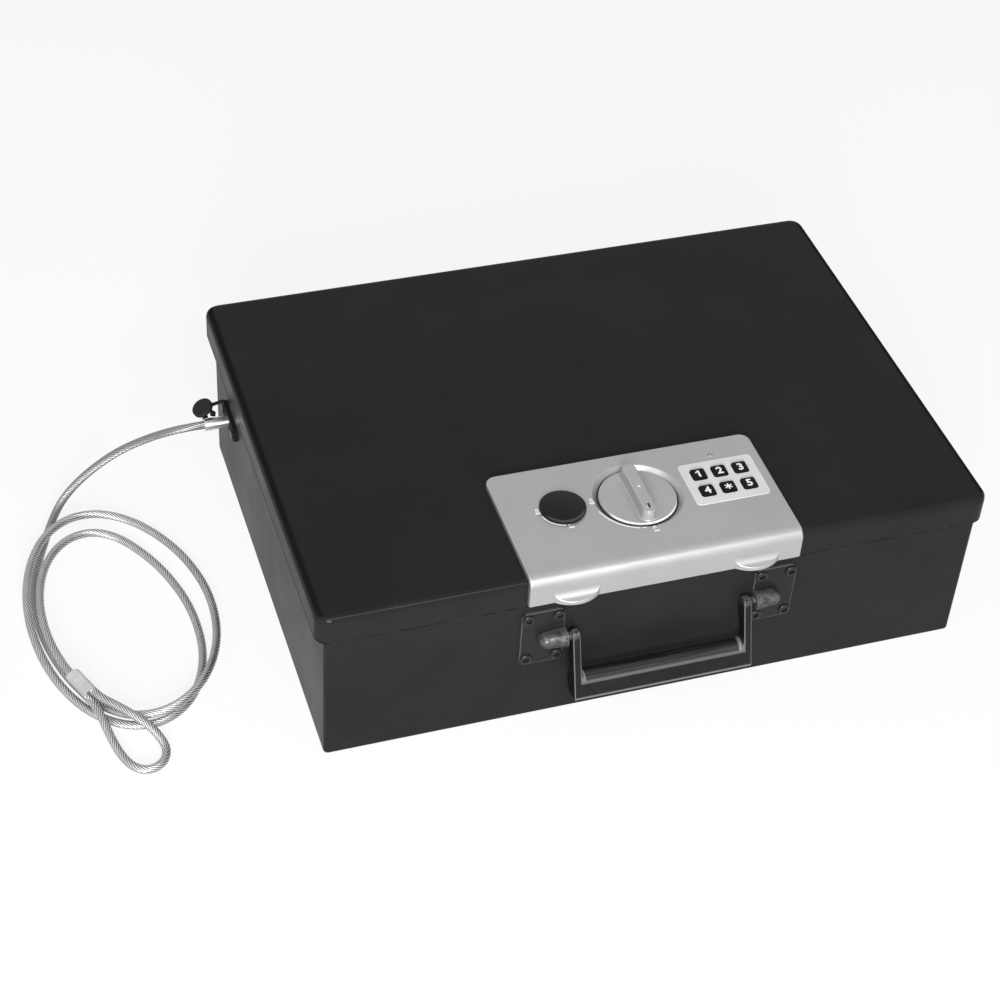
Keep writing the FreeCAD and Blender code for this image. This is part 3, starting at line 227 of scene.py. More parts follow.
def vectorNode(tree, operation, *values):
    node = addNode(tree, "ShaderNodeVectorMath", operation=operation)
    for socket, value in zip(node.inputs, values):
        join(tree, value, socket)
    return node.outputs[0]


def seenDirectly(tree):
    # 1 for what the camera, a reflection or glass shows, 0 for the light that falls on the pieces
    path = addNode(tree, "ShaderNodeLightPath").outputs
    mirrored = larger(tree, path["Is Glossy Ray"], path["Is Transmission Ray"])
    return larger(tree, path["Is Camera Ray"], mirrored)


def newGroup(name, inputs, outputs):
    tree = bpy.data.node_groups.new(name, "ShaderNodeTree")
    for socketName, value in inputs.items():
        kind = "NodeSocketVector" if isinstance(value, tuple) else "NodeSocketFloat"
        tree.interface.new_socket(socketName, in_out="INPUT", socket_type=kind).default_value = value
    for socketName in outputs:
        tree.interface.new_socket(socketName, in_out="OUTPUT", socket_type="NodeSocketFloat")
    return tree, addNode(tree, "NodeGroupInput").outputs, addNode(tree, "NodeGroupOutput").inputs


def useGroup(tree, group, **inputs):
    return setInputs(addNode(tree, "ShaderNodeGroup", node_tree=group), inputs).outputs


def newMaterial(name, **constants):
    material = bpy.data.materials.new(name)
    material.use_nodes = True
    tree = material.node_tree
    shader = tree.nodes["Principled BSDF"]
    setInputs(shader, constants)
    return material, tree, shader.inputs


def addBump(tree, height, target, strength, distance):
    bump = addNode(tree, "ShaderNodeBump", {"Strength": strength, "Distance": distance})
    join(tree, height, bump.inputs["Height"])
    join(tree, bump.outputs["Normal"], target)


# Shared surface effects, each a group of its own

grainShape = {"fine": {"Detail": 2.0, "Roughness": 0.55}, "slow": {"Detail": 4.0, "Roughness": 0.6},
              "dust": {"Randomness": 1.0}, "dustShare": (0.955, 0.965), "dustReach": (0.09, 0.03)}
edgeShape = {"noise": {"Detail": 4.0, "Roughness": 0.65}, "kept": (0.38, 0.62)}


def makeGrainGroup():
    # fine sprayed grain, slow patches and rare dust specks, read from the piece's own place
    inputs = {"Grain": 1500.0, "Patch": 14.0, "Dust": 260.0}
    tree, given, wanted = newGroup("sprayGrain", inputs, ("Height", "Patches", "Specks"))
    place = objectPlace(tree)
    grain = addNode(tree, "ShaderNodeTexNoise", grainShape["fine"])
    patch = addNode(tree, "ShaderNodeTexNoise", grainShape["slow"])
    dust = addNode(tree, "ShaderNodeTexVoronoi", grainShape["dust"])
    for node, scale in ((grain, "Grain"), (patch, "Patch"), (dust, "Dust")):
        join(tree, place, node.inputs["Vector"])
        join(tree, given[scale], node.inputs["Scale"])
    few = addNode(tree, "ShaderNodeSeparateColor")
    join(tree, dust.outputs["Color"], few.inputs[0])
    chosen = spread(tree, few.outputs[0], *grainShape["dustShare"])
    near = spread(tree, dust.outputs["Distance"], *grainShape["dustReach"])
    join(tree, grain.outputs["Fac"], wanted["Height"])
    join(tree, patch.outputs["Fac"], wanted["Patches"])
    join(tree, times(tree, chosen, near), wanted["Specks"])
    return tree


def makeEdgeGroup():
    # how near a point is to the edges of a box: the second smallest of its distances to the box's faces
    inputs = {"Middle": (0.0, 0.0, 0.0), "Half": (1.0, 1.0, 1.0), "Width": 0.002, "Break": 60.0}
    tree, given, wanted = newGroup("edgeRub", inputs, ("Edge",))
    place = objectPlace(tree)
    away = vectorNode(tree, "ABSOLUTE", vectorNode(tree, "SUBTRACT", place, given["Middle"]))
    a, b, c = splitAxes(tree, vectorNode(tree, "SUBTRACT", given["Half"], away))
    second = larger(tree, smaller(tree, a, b), smaller(tree, larger(tree, a, b), c))
    closeness = minus(tree, 1.0, mathNode(tree, "DIVIDE", second, given["Width"]))
    broken = addNode(tree, "ShaderNodeTexNoise", edgeShape["noise"])
    join(tree, place, broken.inputs["Vector"])
    join(tree, given["Break"], broken.inputs["Scale"])
    kept = spread(tree, broken.outputs["Fac"], *edgeShape["kept"])
    join(tree, times(tree, spread(tree, closeness, 0.0, 1.0), kept), wanted["Edge"])
    return tree


grainGroup = makeGrainGroup()
edgeGroup = makeEdgeGroup()
paintSpan = {"tone": (0.3, 0.7), "rough": (0.25, 0.75)}          # of the slow patches' noise


def grainFor(tree, look):
    return useGroup(tree, grainGroup, Grain=look["grain"], Patch=look["patch"], Dust=look["dust"])


def patchTone(tree, grain, look):
    return mixColour(tree, spread(tree, grain["Patches"], *paintSpan["tone"]), look["dark"], look["light"])


def patchRough(tree, grain, look):
    return spread(tree, grain["Patches"], *paintSpan["rough"], *look["rough"])


def bandMask(tree, bands):
    # 1 where the place lies between the limits of every band, fading out over a short way either side
    place, mask = splitAxes(tree, objectPlace(tree)), 1.0
    for axis, low, high, soft in bands:
        for start, end in ((low - soft, low), (high + soft, high)):
            mask = times(tree, spread(tree, place[axis], start, end), mask)
    return mask


def ringMask(tree, middle, inner, outer, soft):
    # 1 between two radii round an upright axis
    place = splitAxes(tree, objectPlace(tree))
    sides = [minus(tree, place[axis], middle[axis]) for axis in (0, 1)]
    squares = [times(tree, side, side) for side in sides]
    radius = mathNode(tree, "SQRT", mathNode(tree, "ADD", *squares))
    return times(tree, spread(tree, radius, inner - soft, inner), spread(tree, radius, outer + soft, outer))


def edgeWear(tree, node, look):
    low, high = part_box(node)
    rub = useGroup(tree, edgeGroup, Middle=tuple((low + high) / 2), Half=tuple((high - low) / 2),
                   Width=look["rubWidth"], Break=look["rubBreak"])
    return times(tree, rub["Edge"], look["rubShare"])


def sprayed(name, look, node=None):
    # a sprayed or moulded finish: base tone, patches, grain, dust, matt bands whose darker tone is painted
    # shade, glossy bands, rubbed edges and painted highlights in rings
    material, tree, sockets = newMaterial(name, **look["shader"])
    grain = grainFor(tree, look)
    colour = patchTone(tree, grain, look)
    rough = patchRough(tree, grain, look)
    if "speckTone" in look:
        colour = mixColour(tree, times(tree, grain["Specks"], look["speckShare"]), colour, look["speckTone"])
    # matt bands are rougher, and their darker tone is painted shade
    for bands in look.get("mattAndShadeBands", ()):
        matt = bandMask(tree, bands)
        rough = larger(tree, rough, matt)
        colour = mixColour(tree, matt, colour, look["paintedShadeTone"])
    if "glossBands" in look:
        gloss = bandMask(tree, look["glossBands"])
        rough = smaller(tree, rough, spread(tree, gloss, 0.0, 1.0, 1.0, look["glossRough"]))
    if node:
        colour = mixColour(tree, edgeWear(tree, node, look), colour, look["rubTone"])
    # painted highlights, each inside a ring and its bands
    for mark in look.get("paintedHighlights", ()):
        mask = times(tree, ringMask(tree, *mark["ring"]), bandMask(tree, mark["bands"]))
        colour = mixColour(tree, mask, colour, mark["tone"])
        if "metal" in mark:
            metal = spread(tree, mask, 0.0, 1.0, look["shader"]["Metallic"], mark["metal"])
            join(tree, metal, sockets["Metallic"])
    join(tree, colour, sockets["Base Color"])
    join(tree, rough, sockets["Roughness"])
    addBump(tree, grain["Height"], sockets["Normal"], look["bump"], look["bumpDepth"])
    return material


def dress(material, *names):
    for name in names:
        slots = nodes[name].data.materials
        for number in range(len(slots)):
            slots[number] = material


# Painted sheet of the base, the hinge and the lid; a band is its axis, its limits and its soft width

paintLook = {
    "shader": {"Specular IOR Level": 0.065},
    "dark": (0.0112, 0.0112, 0.0117), "light": (0.0146, 0.0146, 0.0151), "rough": (0.34, 0.42),
    "grain": 1300.0, "patch": 16.0, "dust": 230.0, "speckTone": (0.10, 0.10, 0.10), "speckShare": 0.6,
    "rubTone": (0.045, 0.045, 0.046), "rubWidth": 1.6 * mm, "rubBreak": 90.0, "rubShare": 0.5,
    "bump": 0.10, "bumpDepth": 0.2 * mm,
}
lidHem = (2, 86.0 * mm, 87.9 * mm, 0.3 * mm)
lidRoll = (2, 103.7 * mm, 104.85 * mm, 0.3 * mm)
# the lid's hem and the upper roll of its sides are matt and darker: the darker tone is painted shade
lidLook = {
    **paintLook,
    "mattAndShadeBands": [[lidHem], [lidRoll, (0, -191.0 * mm, -185.4 * mm, 0.3 * mm)],
                  [lidRoll, (0, 185.4 * mm, 191.0 * mm, 0.3 * mm)]],
    "paintedShadeTone": (0.007, 0.007, 0.0072),
    "glossBands": [(1, -136.0 * mm, -130.0 * mm, 0.5 * mm), (2, 101.0 * mm, 105.5 * mm, 0.5 * mm)],
    "glossRough": 0.12,                                          # on the roll along the front
}
for paintedNode in ("base_shell", "hinge_base_leaf", "hinge_lid_leaf"):
    dress(sprayed("blackPaint_" + paintedNode, paintLook, paintedNode), paintedNode)
dress(sprayed("blackPaint_lid_shell", lidLook, "lid_shell"), "lid_shell")


# Handle brackets and their rivets

fittingLook = {**paintLook, "shader": {"Specular IOR Level": 0.12}, "grain": 900.0, "bump": 0.16}
rivetLook = {**fittingLook, "shader": {"Specular IOR Level": 0.26}, "rough": (0.16, 0.24)}
bossLook = {
    "plateFront": 134.7 * mm, "step": 0.5 * mm, "axisUp": 61.2 * mm, "lift": (-3.0 * mm, 2.5 * mm),
    "wornAndHighlight": (0.14, 0.14, 0.14), "wornNoise": (300.0, 5.0, 0.65), "wornSpan": (0.26, 0.72), "metal": 0.7,
    "middleX": 66.5 * mm, "halfX": 12.3 * mm, "middleZ": 61.4 * mm, "halfZ": 19.3 * mm,
    "line": (0.9 * mm, 0.3 * mm), "lineTone": (0.055, 0.055, 0.056), "rough": (0.20, 0.34),
    "castNoise": (340.0, 3.0, 0.6), "grainShare": 0.25, "bump": 0.16, "bumpDepth": 0.5 * mm,
}


def castFitting(name):
    # a painted plate whose raised boss is worn: past the plate's front, on its upper side, the tone turns to
    # mottled bare metal, as wear and a painted highlight
    look = bossLook
    material, tree, sockets = newMaterial(name, **fittingLook["shader"])
    place = objectPlace(tree)
    x, y, z = splitAxes(tree, place)
    boss = spread(tree, times(tree, y, -1.0), look["plateFront"], look["plateFront"] + look["step"])
    mottled = spread(tree, noiseAt(tree, place, *look["wornNoise"]), *look["wornSpan"])
    # only the upper side takes the bare-metal tone: painted highlight
    upper = spread(tree, minus(tree, z, look["axisUp"]), *look["lift"])
    wornAndHighlight = times(tree, times(tree, boss, mottled), upper)
    toSide = minus(tree, look["halfX"], apart(tree, mathNode(tree, "ABSOLUTE", x), look["middleX"]))
    toEnd = minus(tree, look["halfZ"], apart(tree, z, look["middleZ"]))
    rim = spread(tree, smaller(tree, toSide, toEnd), *look["line"])
    grain = grainFor(tree, fittingLook)
    paint = mixColour(tree, rim, patchTone(tree, grain, fittingLook), look["lineTone"])
    join(tree, mixColour(tree, wornAndHighlight, paint, look["wornAndHighlight"]), sockets["Base Color"])
    join(tree, times(tree, wornAndHighlight, look["metal"]), sockets["Metallic"])
    join(tree, patchRough(tree, grain, look), sockets["Roughness"])
    cast = times(tree, noiseAt(tree, place, *look["castNoise"]), boss)
    height = mathNode(tree, "ADD", cast, times(tree, grain["Height"], look["grainShare"]))
    addBump(tree, height, sockets["Normal"], look["bump"], look["bumpDepth"])
    return material


for fittingNode in ("bracket_left", "bracket_right"):
    dress(castFitting("blackPaint_" + fittingNode), fittingNode)
dress(sprayed("rivetPaint", rivetLook), "bracket_rivets")


# Panel, knob, keys, key cover and the plastic pieces

keyNodes = ["key_1", "key_2", "key_3", "key_4", "key_star", "key_5"]
silverLook = {
    "shader": {"Metallic": 0.65, "Specular IOR Level": 0.3},
    "dark": (0.360, 0.363, 0.366), "light": (0.380, 0.383, 0.386), "rough": (0.36, 0.42),
    "grain": 3200.0, "patch": 30.0, "dust": 300.0, "bump": 0.10, "bumpDepth": 0.15 * mm,
}
rimHighlight = {
    "ring": ((0.0, -88.5 * mm), 21.0 * mm, 22.0 * mm, 0.15 * mm),
    "bands": [(2, 105.0 * mm, 107.2 * mm, 0.2 * mm), (1, -112.0 * mm, -102.0 * mm, 7.0 * mm)],
    "tone": (0.9, 0.9, 0.9), "metal": 0.0,                       # painted highlight along the front of the knob's disc
}
knobLook = {**silverLook, "shader": {"Metallic": 0.35, "Specular IOR Level": 0.3}, "paintedHighlights": [rimHighlight]}
plasticLook = {
    "shader": {"Specular IOR Level": 0.13},
    "dark": (0.0098, 0.0098, 0.0103), "light": (0.0115, 0.0115, 0.012), "rough": (0.30, 0.34),
    "grain": 2200.0, "patch": 45.0, "dust": 300.0, "bump": 0.12, "bumpDepth": 0.2 * mm,
}
plateLook = {**plasticLook, "shader": {"Specular IOR Level": 0.05}, "rough": (0.62, 0.72)}
keyLook = {**plasticLook, "shader": {"Specular IOR Level": 0.08}, "dark": (0.003, 0.003, 0.0032),
           "light": (0.0045, 0.0045, 0.0048)}
coverHighlight = {
    "ring": ((-43.0 * mm, -88.5 * mm), 11.3 * mm, 12.2 * mm, 0.5 * mm),
    "bands": [(1, -102.0 * mm, -97.0 * mm, 5.0 * mm), (2, 108.6 * mm, 111.0 * mm, 0.3 * mm)],
    "tone": (0.05, 0.05, 0.051),                                 # painted highlight on the cover's front bevel
}
coverLook = {**plasticLook, "dark": (0.006, 0.006, 0.0065), "light": (0.0085, 0.0085, 0.009),
             "rough": (0.24, 0.30), "bump": 0.16, "paintedHighlights": [coverHighlight]}
labelLook = {
    "shader": {"Specular IOR Level": 0.4},
    "dark": (0.645, 0.645, 0.64), "light": (0.695, 0.695, 0.69), "rough": (0.38, 0.5),
    "grain": 2600.0, "patch": 60.0, "dust": 300.0, "bump": 0.06, "bumpDepth": 0.1 * mm,
}
rubberLook = {
    "shader": {"Specular IOR Level": 0.14},
    "dark": (0.010, 0.010, 0.010), "light": (0.016, 0.016, 0.016), "rough": (0.5, 0.62),
    "grain": 1900.0, "patch": 120.0, "dust": 420.0, "speckTone": (0.10, 0.10, 0.10), "speckShare": 0.4,
    "bump": 0.2, "bumpDepth": 0.2 * mm,
}
lampLook = {
    "shader": {"Specular IOR Level": 0.6, "IOR": 1.49},
    "dark": (0.30, 0.30, 0.30), "light": (0.36, 0.36, 0.36), "rough": (0.08, 0.14),
    "grain": 1500.0, "patch": 300.0, "dust": 300.0, "bump": 0.02, "bumpDepth": 0.1 * mm,
}
dress(sprayed("silverPaint", silverLook), "lock_panel")
dress(sprayed("knobPaint", knobLook), "dial_knob")
dress(sprayed("blackPlastic", plasticLook), "lock_case", "battery_door")
dress(sprayed("keyPlastic", keyLook), *keyNodes)
dress(sprayed("coverPlastic", coverLook), "key_cover")
dress(sprayed("anchorPlastic", plateLook), "anchor_plate")
dress(sprayed("anchorRivetPaint", plasticLook), "anchor_rivets")
dress(sprayed("labelFilm", labelLook), "keypad_label")
dress(sprayed("plugRubber", rubberLook), "hole_plug")
dress(sprayed("lampLens", lampLook), "status_lamp")


# Bare metal

steelLook = {
    "shader": {"Metallic": 1.0},
    "dark": (0.46, 0.455, 0.45), "light": (0.58, 0.575, 0.57), "rough": (0.28, 0.42),
    "grain": 2600.0, "patch": 120.0, "dust": 300.0, "bump": 0.10, "bumpDepth": 0.1 * mm,
}
aluminiumLook = {
    "shader": {"Metallic": 1.0},
    "dark": (0.52, 0.525, 0.53), "light": (0.64, 0.645, 0.65), "rough": (0.26, 0.38),
    "grain": 1800.0, "patch": 60.0, "dust": 300.0, "bump": 0.04, "bumpDepth": 0.1 * mm,
}
brassLook = {**steelLook, "dark": (0.55, 0.40, 0.18), "light": (0.66, 0.50, 0.25)}
chromeLook = {**steelLook, "dark": (0.62, 0.625, 0.63), "light": (0.72, 0.725, 0.73), "rough": (0.12, 0.22)}
dress(sprayed("brightSteel", steelLook), "anchor_nut", "anchor_washer", "battery_contacts", "bolt_bar",
      "case_nuts", "crank_disc", "hinge_pin", "knob_spindle", "lid_studs", "panel_screws", "solenoid_body",
      "solenoid_plunger")
dress(sprayed("aluminium", aluminiumLook), "anchor_ferrule", "end_ferrule")
dress(sprayed("keyChrome", chromeLook), "override_body", "override_nut")
dress(sprayed("keyBrass", brassLook), "override_core")


# Carrying handle

handleLook = {
    "shader": {"Specular IOR Level": 0.2},
    "dark": (0.0055, 0.0055, 0.006), "light": (0.008, 0.008, 0.0085), "rough": (0.20, 0.32),
    "grain": 900.0, "patch": 70.0, "dust": 240.0, "bump": 0.06, "bumpDepth": 0.2 * mm,
    "pivot": (0.0, -137.1 * mm, 61.2 * mm), "tilt": 17.5,        # what follows is in the handle's own frame
    "outer": 51.4 * mm, "inner": 47.2 * mm, "bottom": -38.2 * mm, "shoulder": -28.7 * mm,
    "front": -4.0 * mm, "frontFade": (0.9 * mm, 0.5 * mm), "legSteep": 4.0,
    "line": (0.7 * mm, 0.25 * mm), "lineTone": (0.115, 0.115, 0.117), "ledge": (0.45 * mm, 0.1 * mm),
    "footLine": 0.6 * mm, "footHalf": (1.0 * mm, 0.3 * mm),
    "crownTone": (0.030, 0.030, 0.0305), "crownEnds": (0.1 * mm, 0.6 * mm), "crownRise": 1.2 * mm,
    "streak": (14.0, 700.0, 700.0), "streakNoise": (1.0, 4.0, 0.6), "streakSpan": (0.3, 0.72),
    "flareMiddle": 45.4 * mm, "flareHalf": (1.3 * mm, 0.2 * mm), "flareTone": (0.15, 0.15, 0.15),
    "hub": (-2.0 * mm, 2.0 * mm), "wornNoise": (620.0, 5.0, 0.65), "wornSpan": (0.35, 0.7),
}


def handleMaterial():
    # dark moulding with painted highlights: pale lines along its front face's edges, a lighter streaked
    # crown, bright end flares and a mottled pale hub that is also wear
    look = handleLook
    material, tree, sockets = newMaterial("handleMoulding", **look["shader"])
    place = objectPlace(tree)
    turn = Matrix.Rotation(math.radians(look["tilt"]), 3, "X")
    own = addNode(tree, "ShaderNodeMapping", {"Location": -(turn @ Vector(look["pivot"])),
                                              "Rotation": (math.radians(look["tilt"]), 0.0, 0.0)})
    join(tree, place, own.inputs["Vector"])
    aside, deep, up = splitAxes(tree, own.outputs[0])
    across = mathNode(tree, "ABSOLUTE", aside)
    pastInner = minus(tree, across, look["inner"])
    underShoulder = minus(tree, look["shoulder"], up)
    toLeg = larger(tree, pastInner, times(tree, underShoulder, look["legSteep"]))
    sides = spread(tree, smaller(tree, minus(tree, look["outer"], across), toLeg), *look["line"])
    ledge = spread(tree, larger(tree, pastInner, underShoulder), *look["ledge"])
    toBottom = minus(tree, up, look["bottom"])
    foot = spread(tree, apart(tree, toBottom, look["footLine"]), *look["footHalf"])
    onFront = spread(tree, deep, *(look["front"] + fade for fade in look["frontFade"]))
    line = times(tree, larger(tree, larger(tree, foot, sides), ledge), onFront)
    streaks = addNode(tree, "ShaderNodeMapping", {"Scale": look["streak"]})
    join(tree, own.outputs[0], streaks.inputs["Vector"])
    streak = spread(tree, noiseAt(tree, streaks.outputs[0], *look["streakNoise"]), *look["streakSpan"])
    between = spread(tree, across, *(look["inner"] - inset for inset in look["crownEnds"]))
    onCrown = times(tree, between, spread(tree, up, look["shoulder"], look["shoulder"] + look["crownRise"]))
    onFlare = times(tree, onCrown, spread(tree, apart(tree, across, look["flareMiddle"]), *look["flareHalf"]))
    mottled = spread(tree, noiseAt(tree, place, *look["wornNoise"]), *look["wornSpan"])
    # a mottled pale tone round the hub: wear and painted highlight
    wornAndHighlight = times(tree, spread(tree, up, *look["hub"]), mottled)
    grain = grainFor(tree, look)
    # painted highlights: a lighter streaked crown, bright flares at its ends and pale lines along the front
    # face's edges
    colour = mixColour(tree, times(tree, onCrown, streak), patchTone(tree, grain, look), look["crownTone"])
    colour = mixColour(tree, onFlare, colour, look["flareTone"])
    colour = mixColour(tree, larger(tree, line, wornAndHighlight), colour, look["lineTone"])
    join(tree, colour, sockets["Base Color"])
    join(tree, patchRough(tree, grain, look), sockets["Roughness"])
    addBump(tree, grain["Height"], sockets["Normal"], look["bump"], look["bumpDepth"])
    return material


dress(handleMaterial(), "handle")


# Keypad board and cells

boardLook = {
    "shader": {"Specular IOR Level": 0.5},
    "dark": (0.010, 0.075, 0.030), "light": (0.014, 0.11, 0.045), "rough": (0.25, 0.38),
    "grain": 1800.0, "patch": 220.0, "dust": 300.0, "line": (0.03, 0.20, 0.09), "pad": (0.62, 0.60, 0.55),
    "bricks": {"Scale": 1.0, "Brick Width": 5.2 * mm, "Row Height": 1.7 * mm, "Mortar Size": 0.16 * mm,
               "Mortar Smooth": 0.2},
    "brickShift": 0.37, "pads": {"Scale": 260.0, "Randomness": 0.25}, "padReach": (0.20, 0.16),
    "bump": 0.3, "bumpDepth": 0.1 * mm,
}
cellLook = {
    "shader": {"Specular IOR Level": 0.5},
    "dark": (0.42, 0.12, 0.02), "light": (0.50, 0.15, 0.03), "rough": (0.2, 0.3),
    "grain": 1500.0, "patch": 90.0, "dust": 300.0, "bump": 0.05, "bumpDepth": 0.1 * mm,
    "start": -27.5 * mm, "pitch": 50.5 * mm,                     # the places below are shares of the pitch
    "band": (0.012, 0.012, 0.013), "bandStart": (0.0, 0.005), "bandEnd": (0.704, 0.7),
    "bare": (0.62, 0.615, 0.60), "nub": (0.955, 0.962), "foot": (0.012, 0.006),
}


def boardMaterial():
    # lacquer over copper lines laid out as a brick pattern, with bright round solder pads in rows
    look = boardLook
    material, tree, sockets = newMaterial("boardLacquer", **look["shader"])
    place = objectPlace(tree)
    lines = addNode(tree, "ShaderNodeTexBrick", look["bricks"], offset=look["brickShift"])
    pads = addNode(tree, "ShaderNodeTexVoronoi", look["pads"])
    for node in (lines, pads):
        join(tree, place, node.inputs["Vector"])
    pad = spread(tree, pads.outputs["Distance"], *look["padReach"])
    grain = grainFor(tree, look)
    colour = mixColour(tree, lines.outputs["Fac"], patchTone(tree, grain, look), look["line"])
    join(tree, mixColour(tree, pad, colour, look["pad"]), sockets["Base Color"])
    join(tree, pad, sockets["Metallic"])
    join(tree, patchRough(tree, grain, look), sockets["Roughness"])
    addBump(tree, larger(tree, lines.outputs["Fac"], pad), sockets["Normal"], look["bump"], look["bumpDepth"])
    return material


def cellMaterial():
    # a printed jacket with a dark band, bare at the nub and at the flat foot, repeated for each cell along x
    look = cellLook
    material, tree, sockets = newMaterial("cellJacket", **look["shader"])
    fromStart = minus(tree, splitAxes(tree, objectPlace(tree))[0], look["start"])
    along = mathNode(tree, "FRACT", mathNode(tree, "DIVIDE", fromStart, look["pitch"]))
    band = times(tree, spread(tree, along, *look["bandStart"]), spread(tree, along, *look["bandEnd"]))
    bare = larger(tree, spread(tree, along, *look["nub"]), spread(tree, along, *look["foot"]))
    grain = grainFor(tree, look)
    colour = mixColour(tree, band, patchTone(tree, grain, look), look["band"])
    join(tree, mixColour(tree, bare, colour, look["bare"]), sockets["Base Color"])
    join(tree, bare, sockets["Metallic"])
    join(tree, patchRough(tree, grain, look), sockets["Roughness"])
    addBump(tree, grain["Height"], sockets["Normal"], look["bump"], look["bumpDepth"])
    return material


dress(boardMaterial(), "keypad_board")
dress(cellMaterial(), "batteries")
print("finishes: done")


# Security cable

cable = {
    "radius": 2.4 * mm, "wires": 10, "lay": 25.0 * mm, "valley": 0.30 * mm, "acrossWire": 8,
    "length": 1.21, "ring": 1.4 * mm, "splineSteps": 12, "splineOrder": 3,
    "low": 2.5,                                                  # the route from here on is in millimetres
    "exit": (-201.7, 86.0, 55.0), "insideFerrule": (-197.5, 86.0, 55.0),
    "lead": [(-209.7, 86.0, 55.0), (-221.0, 88.5, 52.2), (-234.0, 95.0, 44.0), (-251.5, 99.3, 34.0),
             (-269.0, 99.0, 22.5), (-283.5, 94.6, 12.5), (-293.2, 85.8, 5.5)],
    "coilMiddle": (-270.0, -5.0), "coilHalf": (49.0, 83.0), "firstAngle": 135.0, "stepAngle": 90.0,
    "reach": [2.1, -6.1, 2.8, -1.7, 3.3, 1.0, -1.0, -18.8, -5.9, -5.35],
    "lag": [-1.4, -2.4, -4.1, 2.7, -0.2, -1.2, -10.3, 6.9, 9.7, -9.4],
    "layer": [0, 0, 1.46, 0, 1.3, 0, 0, 0, 1.3, 1.18], "layerRise": 6.0,
    "pointsPerStep": 4, "cornerCut": 1.019,                      # points go outside the spline by this share
    "eye": [(-296.6, -65.8, 11.35), (-294.2, -71.3, 11.35), (-287.6, -78.3, 11.3), (-280.0, -87.0, 10.8),
            (-272.5, -95.2, 8.6), (-268.0, -102.2, 5.2), (-265.9, -109.0, 3.0), (-268.3, -116.3, 2.5),
            (-273.9, -120.5, 2.5), (-280.3, -120.6, 2.5), (-286.0, -116.4, 2.5), (-290.3, -107.6, 3.0),
            (-292.8, -98.0, 4.4), (-294.6, -89.1, 6.2), (-296.0, -81.0, 7.8), (-297.7, -72.8, 7.85),
            (-300.1, -67.3, 7.85), (-303.3, -60.0, 7.9)],
}
ropeLook = {
    "shader": {"Metallic": 0.88, "Specular IOR Level": 0.5, "Coat Weight": 0.5, "Coat Roughness": 0.16,
               "Coat IOR": 1.5},
    # the darker valley tone in the hollows between wires is painted shade
    "valley": (0.15, 0.15, 0.152), "crest": (0.60, 0.605, 0.61), "crestSpan": (0.08, 0.44),
    "grain": 1400.0, "patch": 120.0, "dust": 300.0, "patchSpan": (0.2, 0.8), "patchShare": (0.78, 1.0),
    "rough": (0.34, 0.5), "shadeShare": (0.3, 1.0),
    "shadedStretch": (0.10, 0.19),                                 # metres along the rope over which the painted shade fades
}


def readBetween(values, at):
    # a list read at fractional places, each step a cubic through its two neighbours either side
    padded = np.array([values[0], *values, values[-1]], float)
    step = np.clip(np.floor(at).astype(int), 0, len(values) - 2)
    part = at - step
    a, b, c, d = (padded[step + number] for number in range(4))
    return b + 0.5 * part * (c - a + part * (2 * a - 5 * b + 4 * c - d + part * (3 * (b - c) + d - a)))


def coilPoints():
    # an ellipse whose reach, angle and height change a little from step to step
    steps = len(cable["reach"]) - 1
    at = np.linspace(0, steps, steps * cable["pointsPerStep"] + 1)
    reach = readBetween(cable["reach"], at)
    angle = np.radians(cable["firstAngle"] + cable["stepAngle"] * at + readBetween(cable["lag"], at))
    layer = np.maximum(readBetween(cable["layer"], at), 0)
    (middleX, middleY), (halfX, halfY) = cable["coilMiddle"], cable["coilHalf"]
    return np.stack([middleX + (halfX + reach) * cable["cornerCut"] * np.cos(angle),
                     middleY + (halfY + reach) * cable["cornerCut"] * np.sin(angle),
                     cable["low"] + layer * cable["layerRise"]], axis=-1)


def smoothLine(name, points):
    # points along one open NURBS spline that follows the route
    curve = bpy.data.curves.new(name, "CURVE")
    curve.dimensions = "3D"
    curve.resolution_u = cable["splineSteps"]
    spline = curve.splines.new("NURBS")
    spline.points.add(len(points) - 1)
    spline.points.foreach_set("co", np.c_[points, np.ones(len(points))].ravel())
    spline.order_u = cable["splineOrder"]
    spline.use_endpoint_u = True
    return meshPoints(curveMesh(name, curve))


def evenLine(line, spacing):
    # the same line read at even steps of its length
    along = np.r_[0, np.cumsum(np.linalg.norm(np.diff(line, axis=0), axis=1))]
    at = np.linspace(0, along[-1], int(along[-1] / spacing) + 1)
    return np.stack([np.interp(at, along, line[:, axis]) for axis in range(3)], axis=-1), at


def ropeMesh(line, along):
    # rings across the line, each turned by its share of the lay, so every column of points follows one wire
    tangent = unit(np.gradient(line, axis=0))
    side = unit(np.cross(np.array([0.0, 0.0, 1.0]), tangent))
    over = np.cross(tangent, side)
    columns = cable["wires"] * cable["acrossWire"]
    wire = np.arange(columns) * 2 * math.pi / columns
    turn = wire[None, :] + 2 * math.pi * along[:, None] / cable["lay"]
    hollow = 1 - np.abs(np.cos(wire * cable["wires"] / 2))       # 0 on top of a wire, 1 between two wires
    radius = cable["radius"] - cable["valley"] * hollow
    outward = np.cos(turn)[..., None] * side[:, None, :] + np.sin(turn)[..., None] * over[:, None, :]
    points = line[:, None, :] + radius[None, :, None] * outward
    faces = gridFaces(len(line), columns).tolist()
    lastRing = (len(line) - 1) * columns
    faces.append(list(range(columns))[::-1])
    faces.append(list(range(lastRing, lastRing + columns)))
    mesh = meshFrom("cableRope", points, faces)
    ropeUv(mesh, len(line), columns, along)
    return mesh


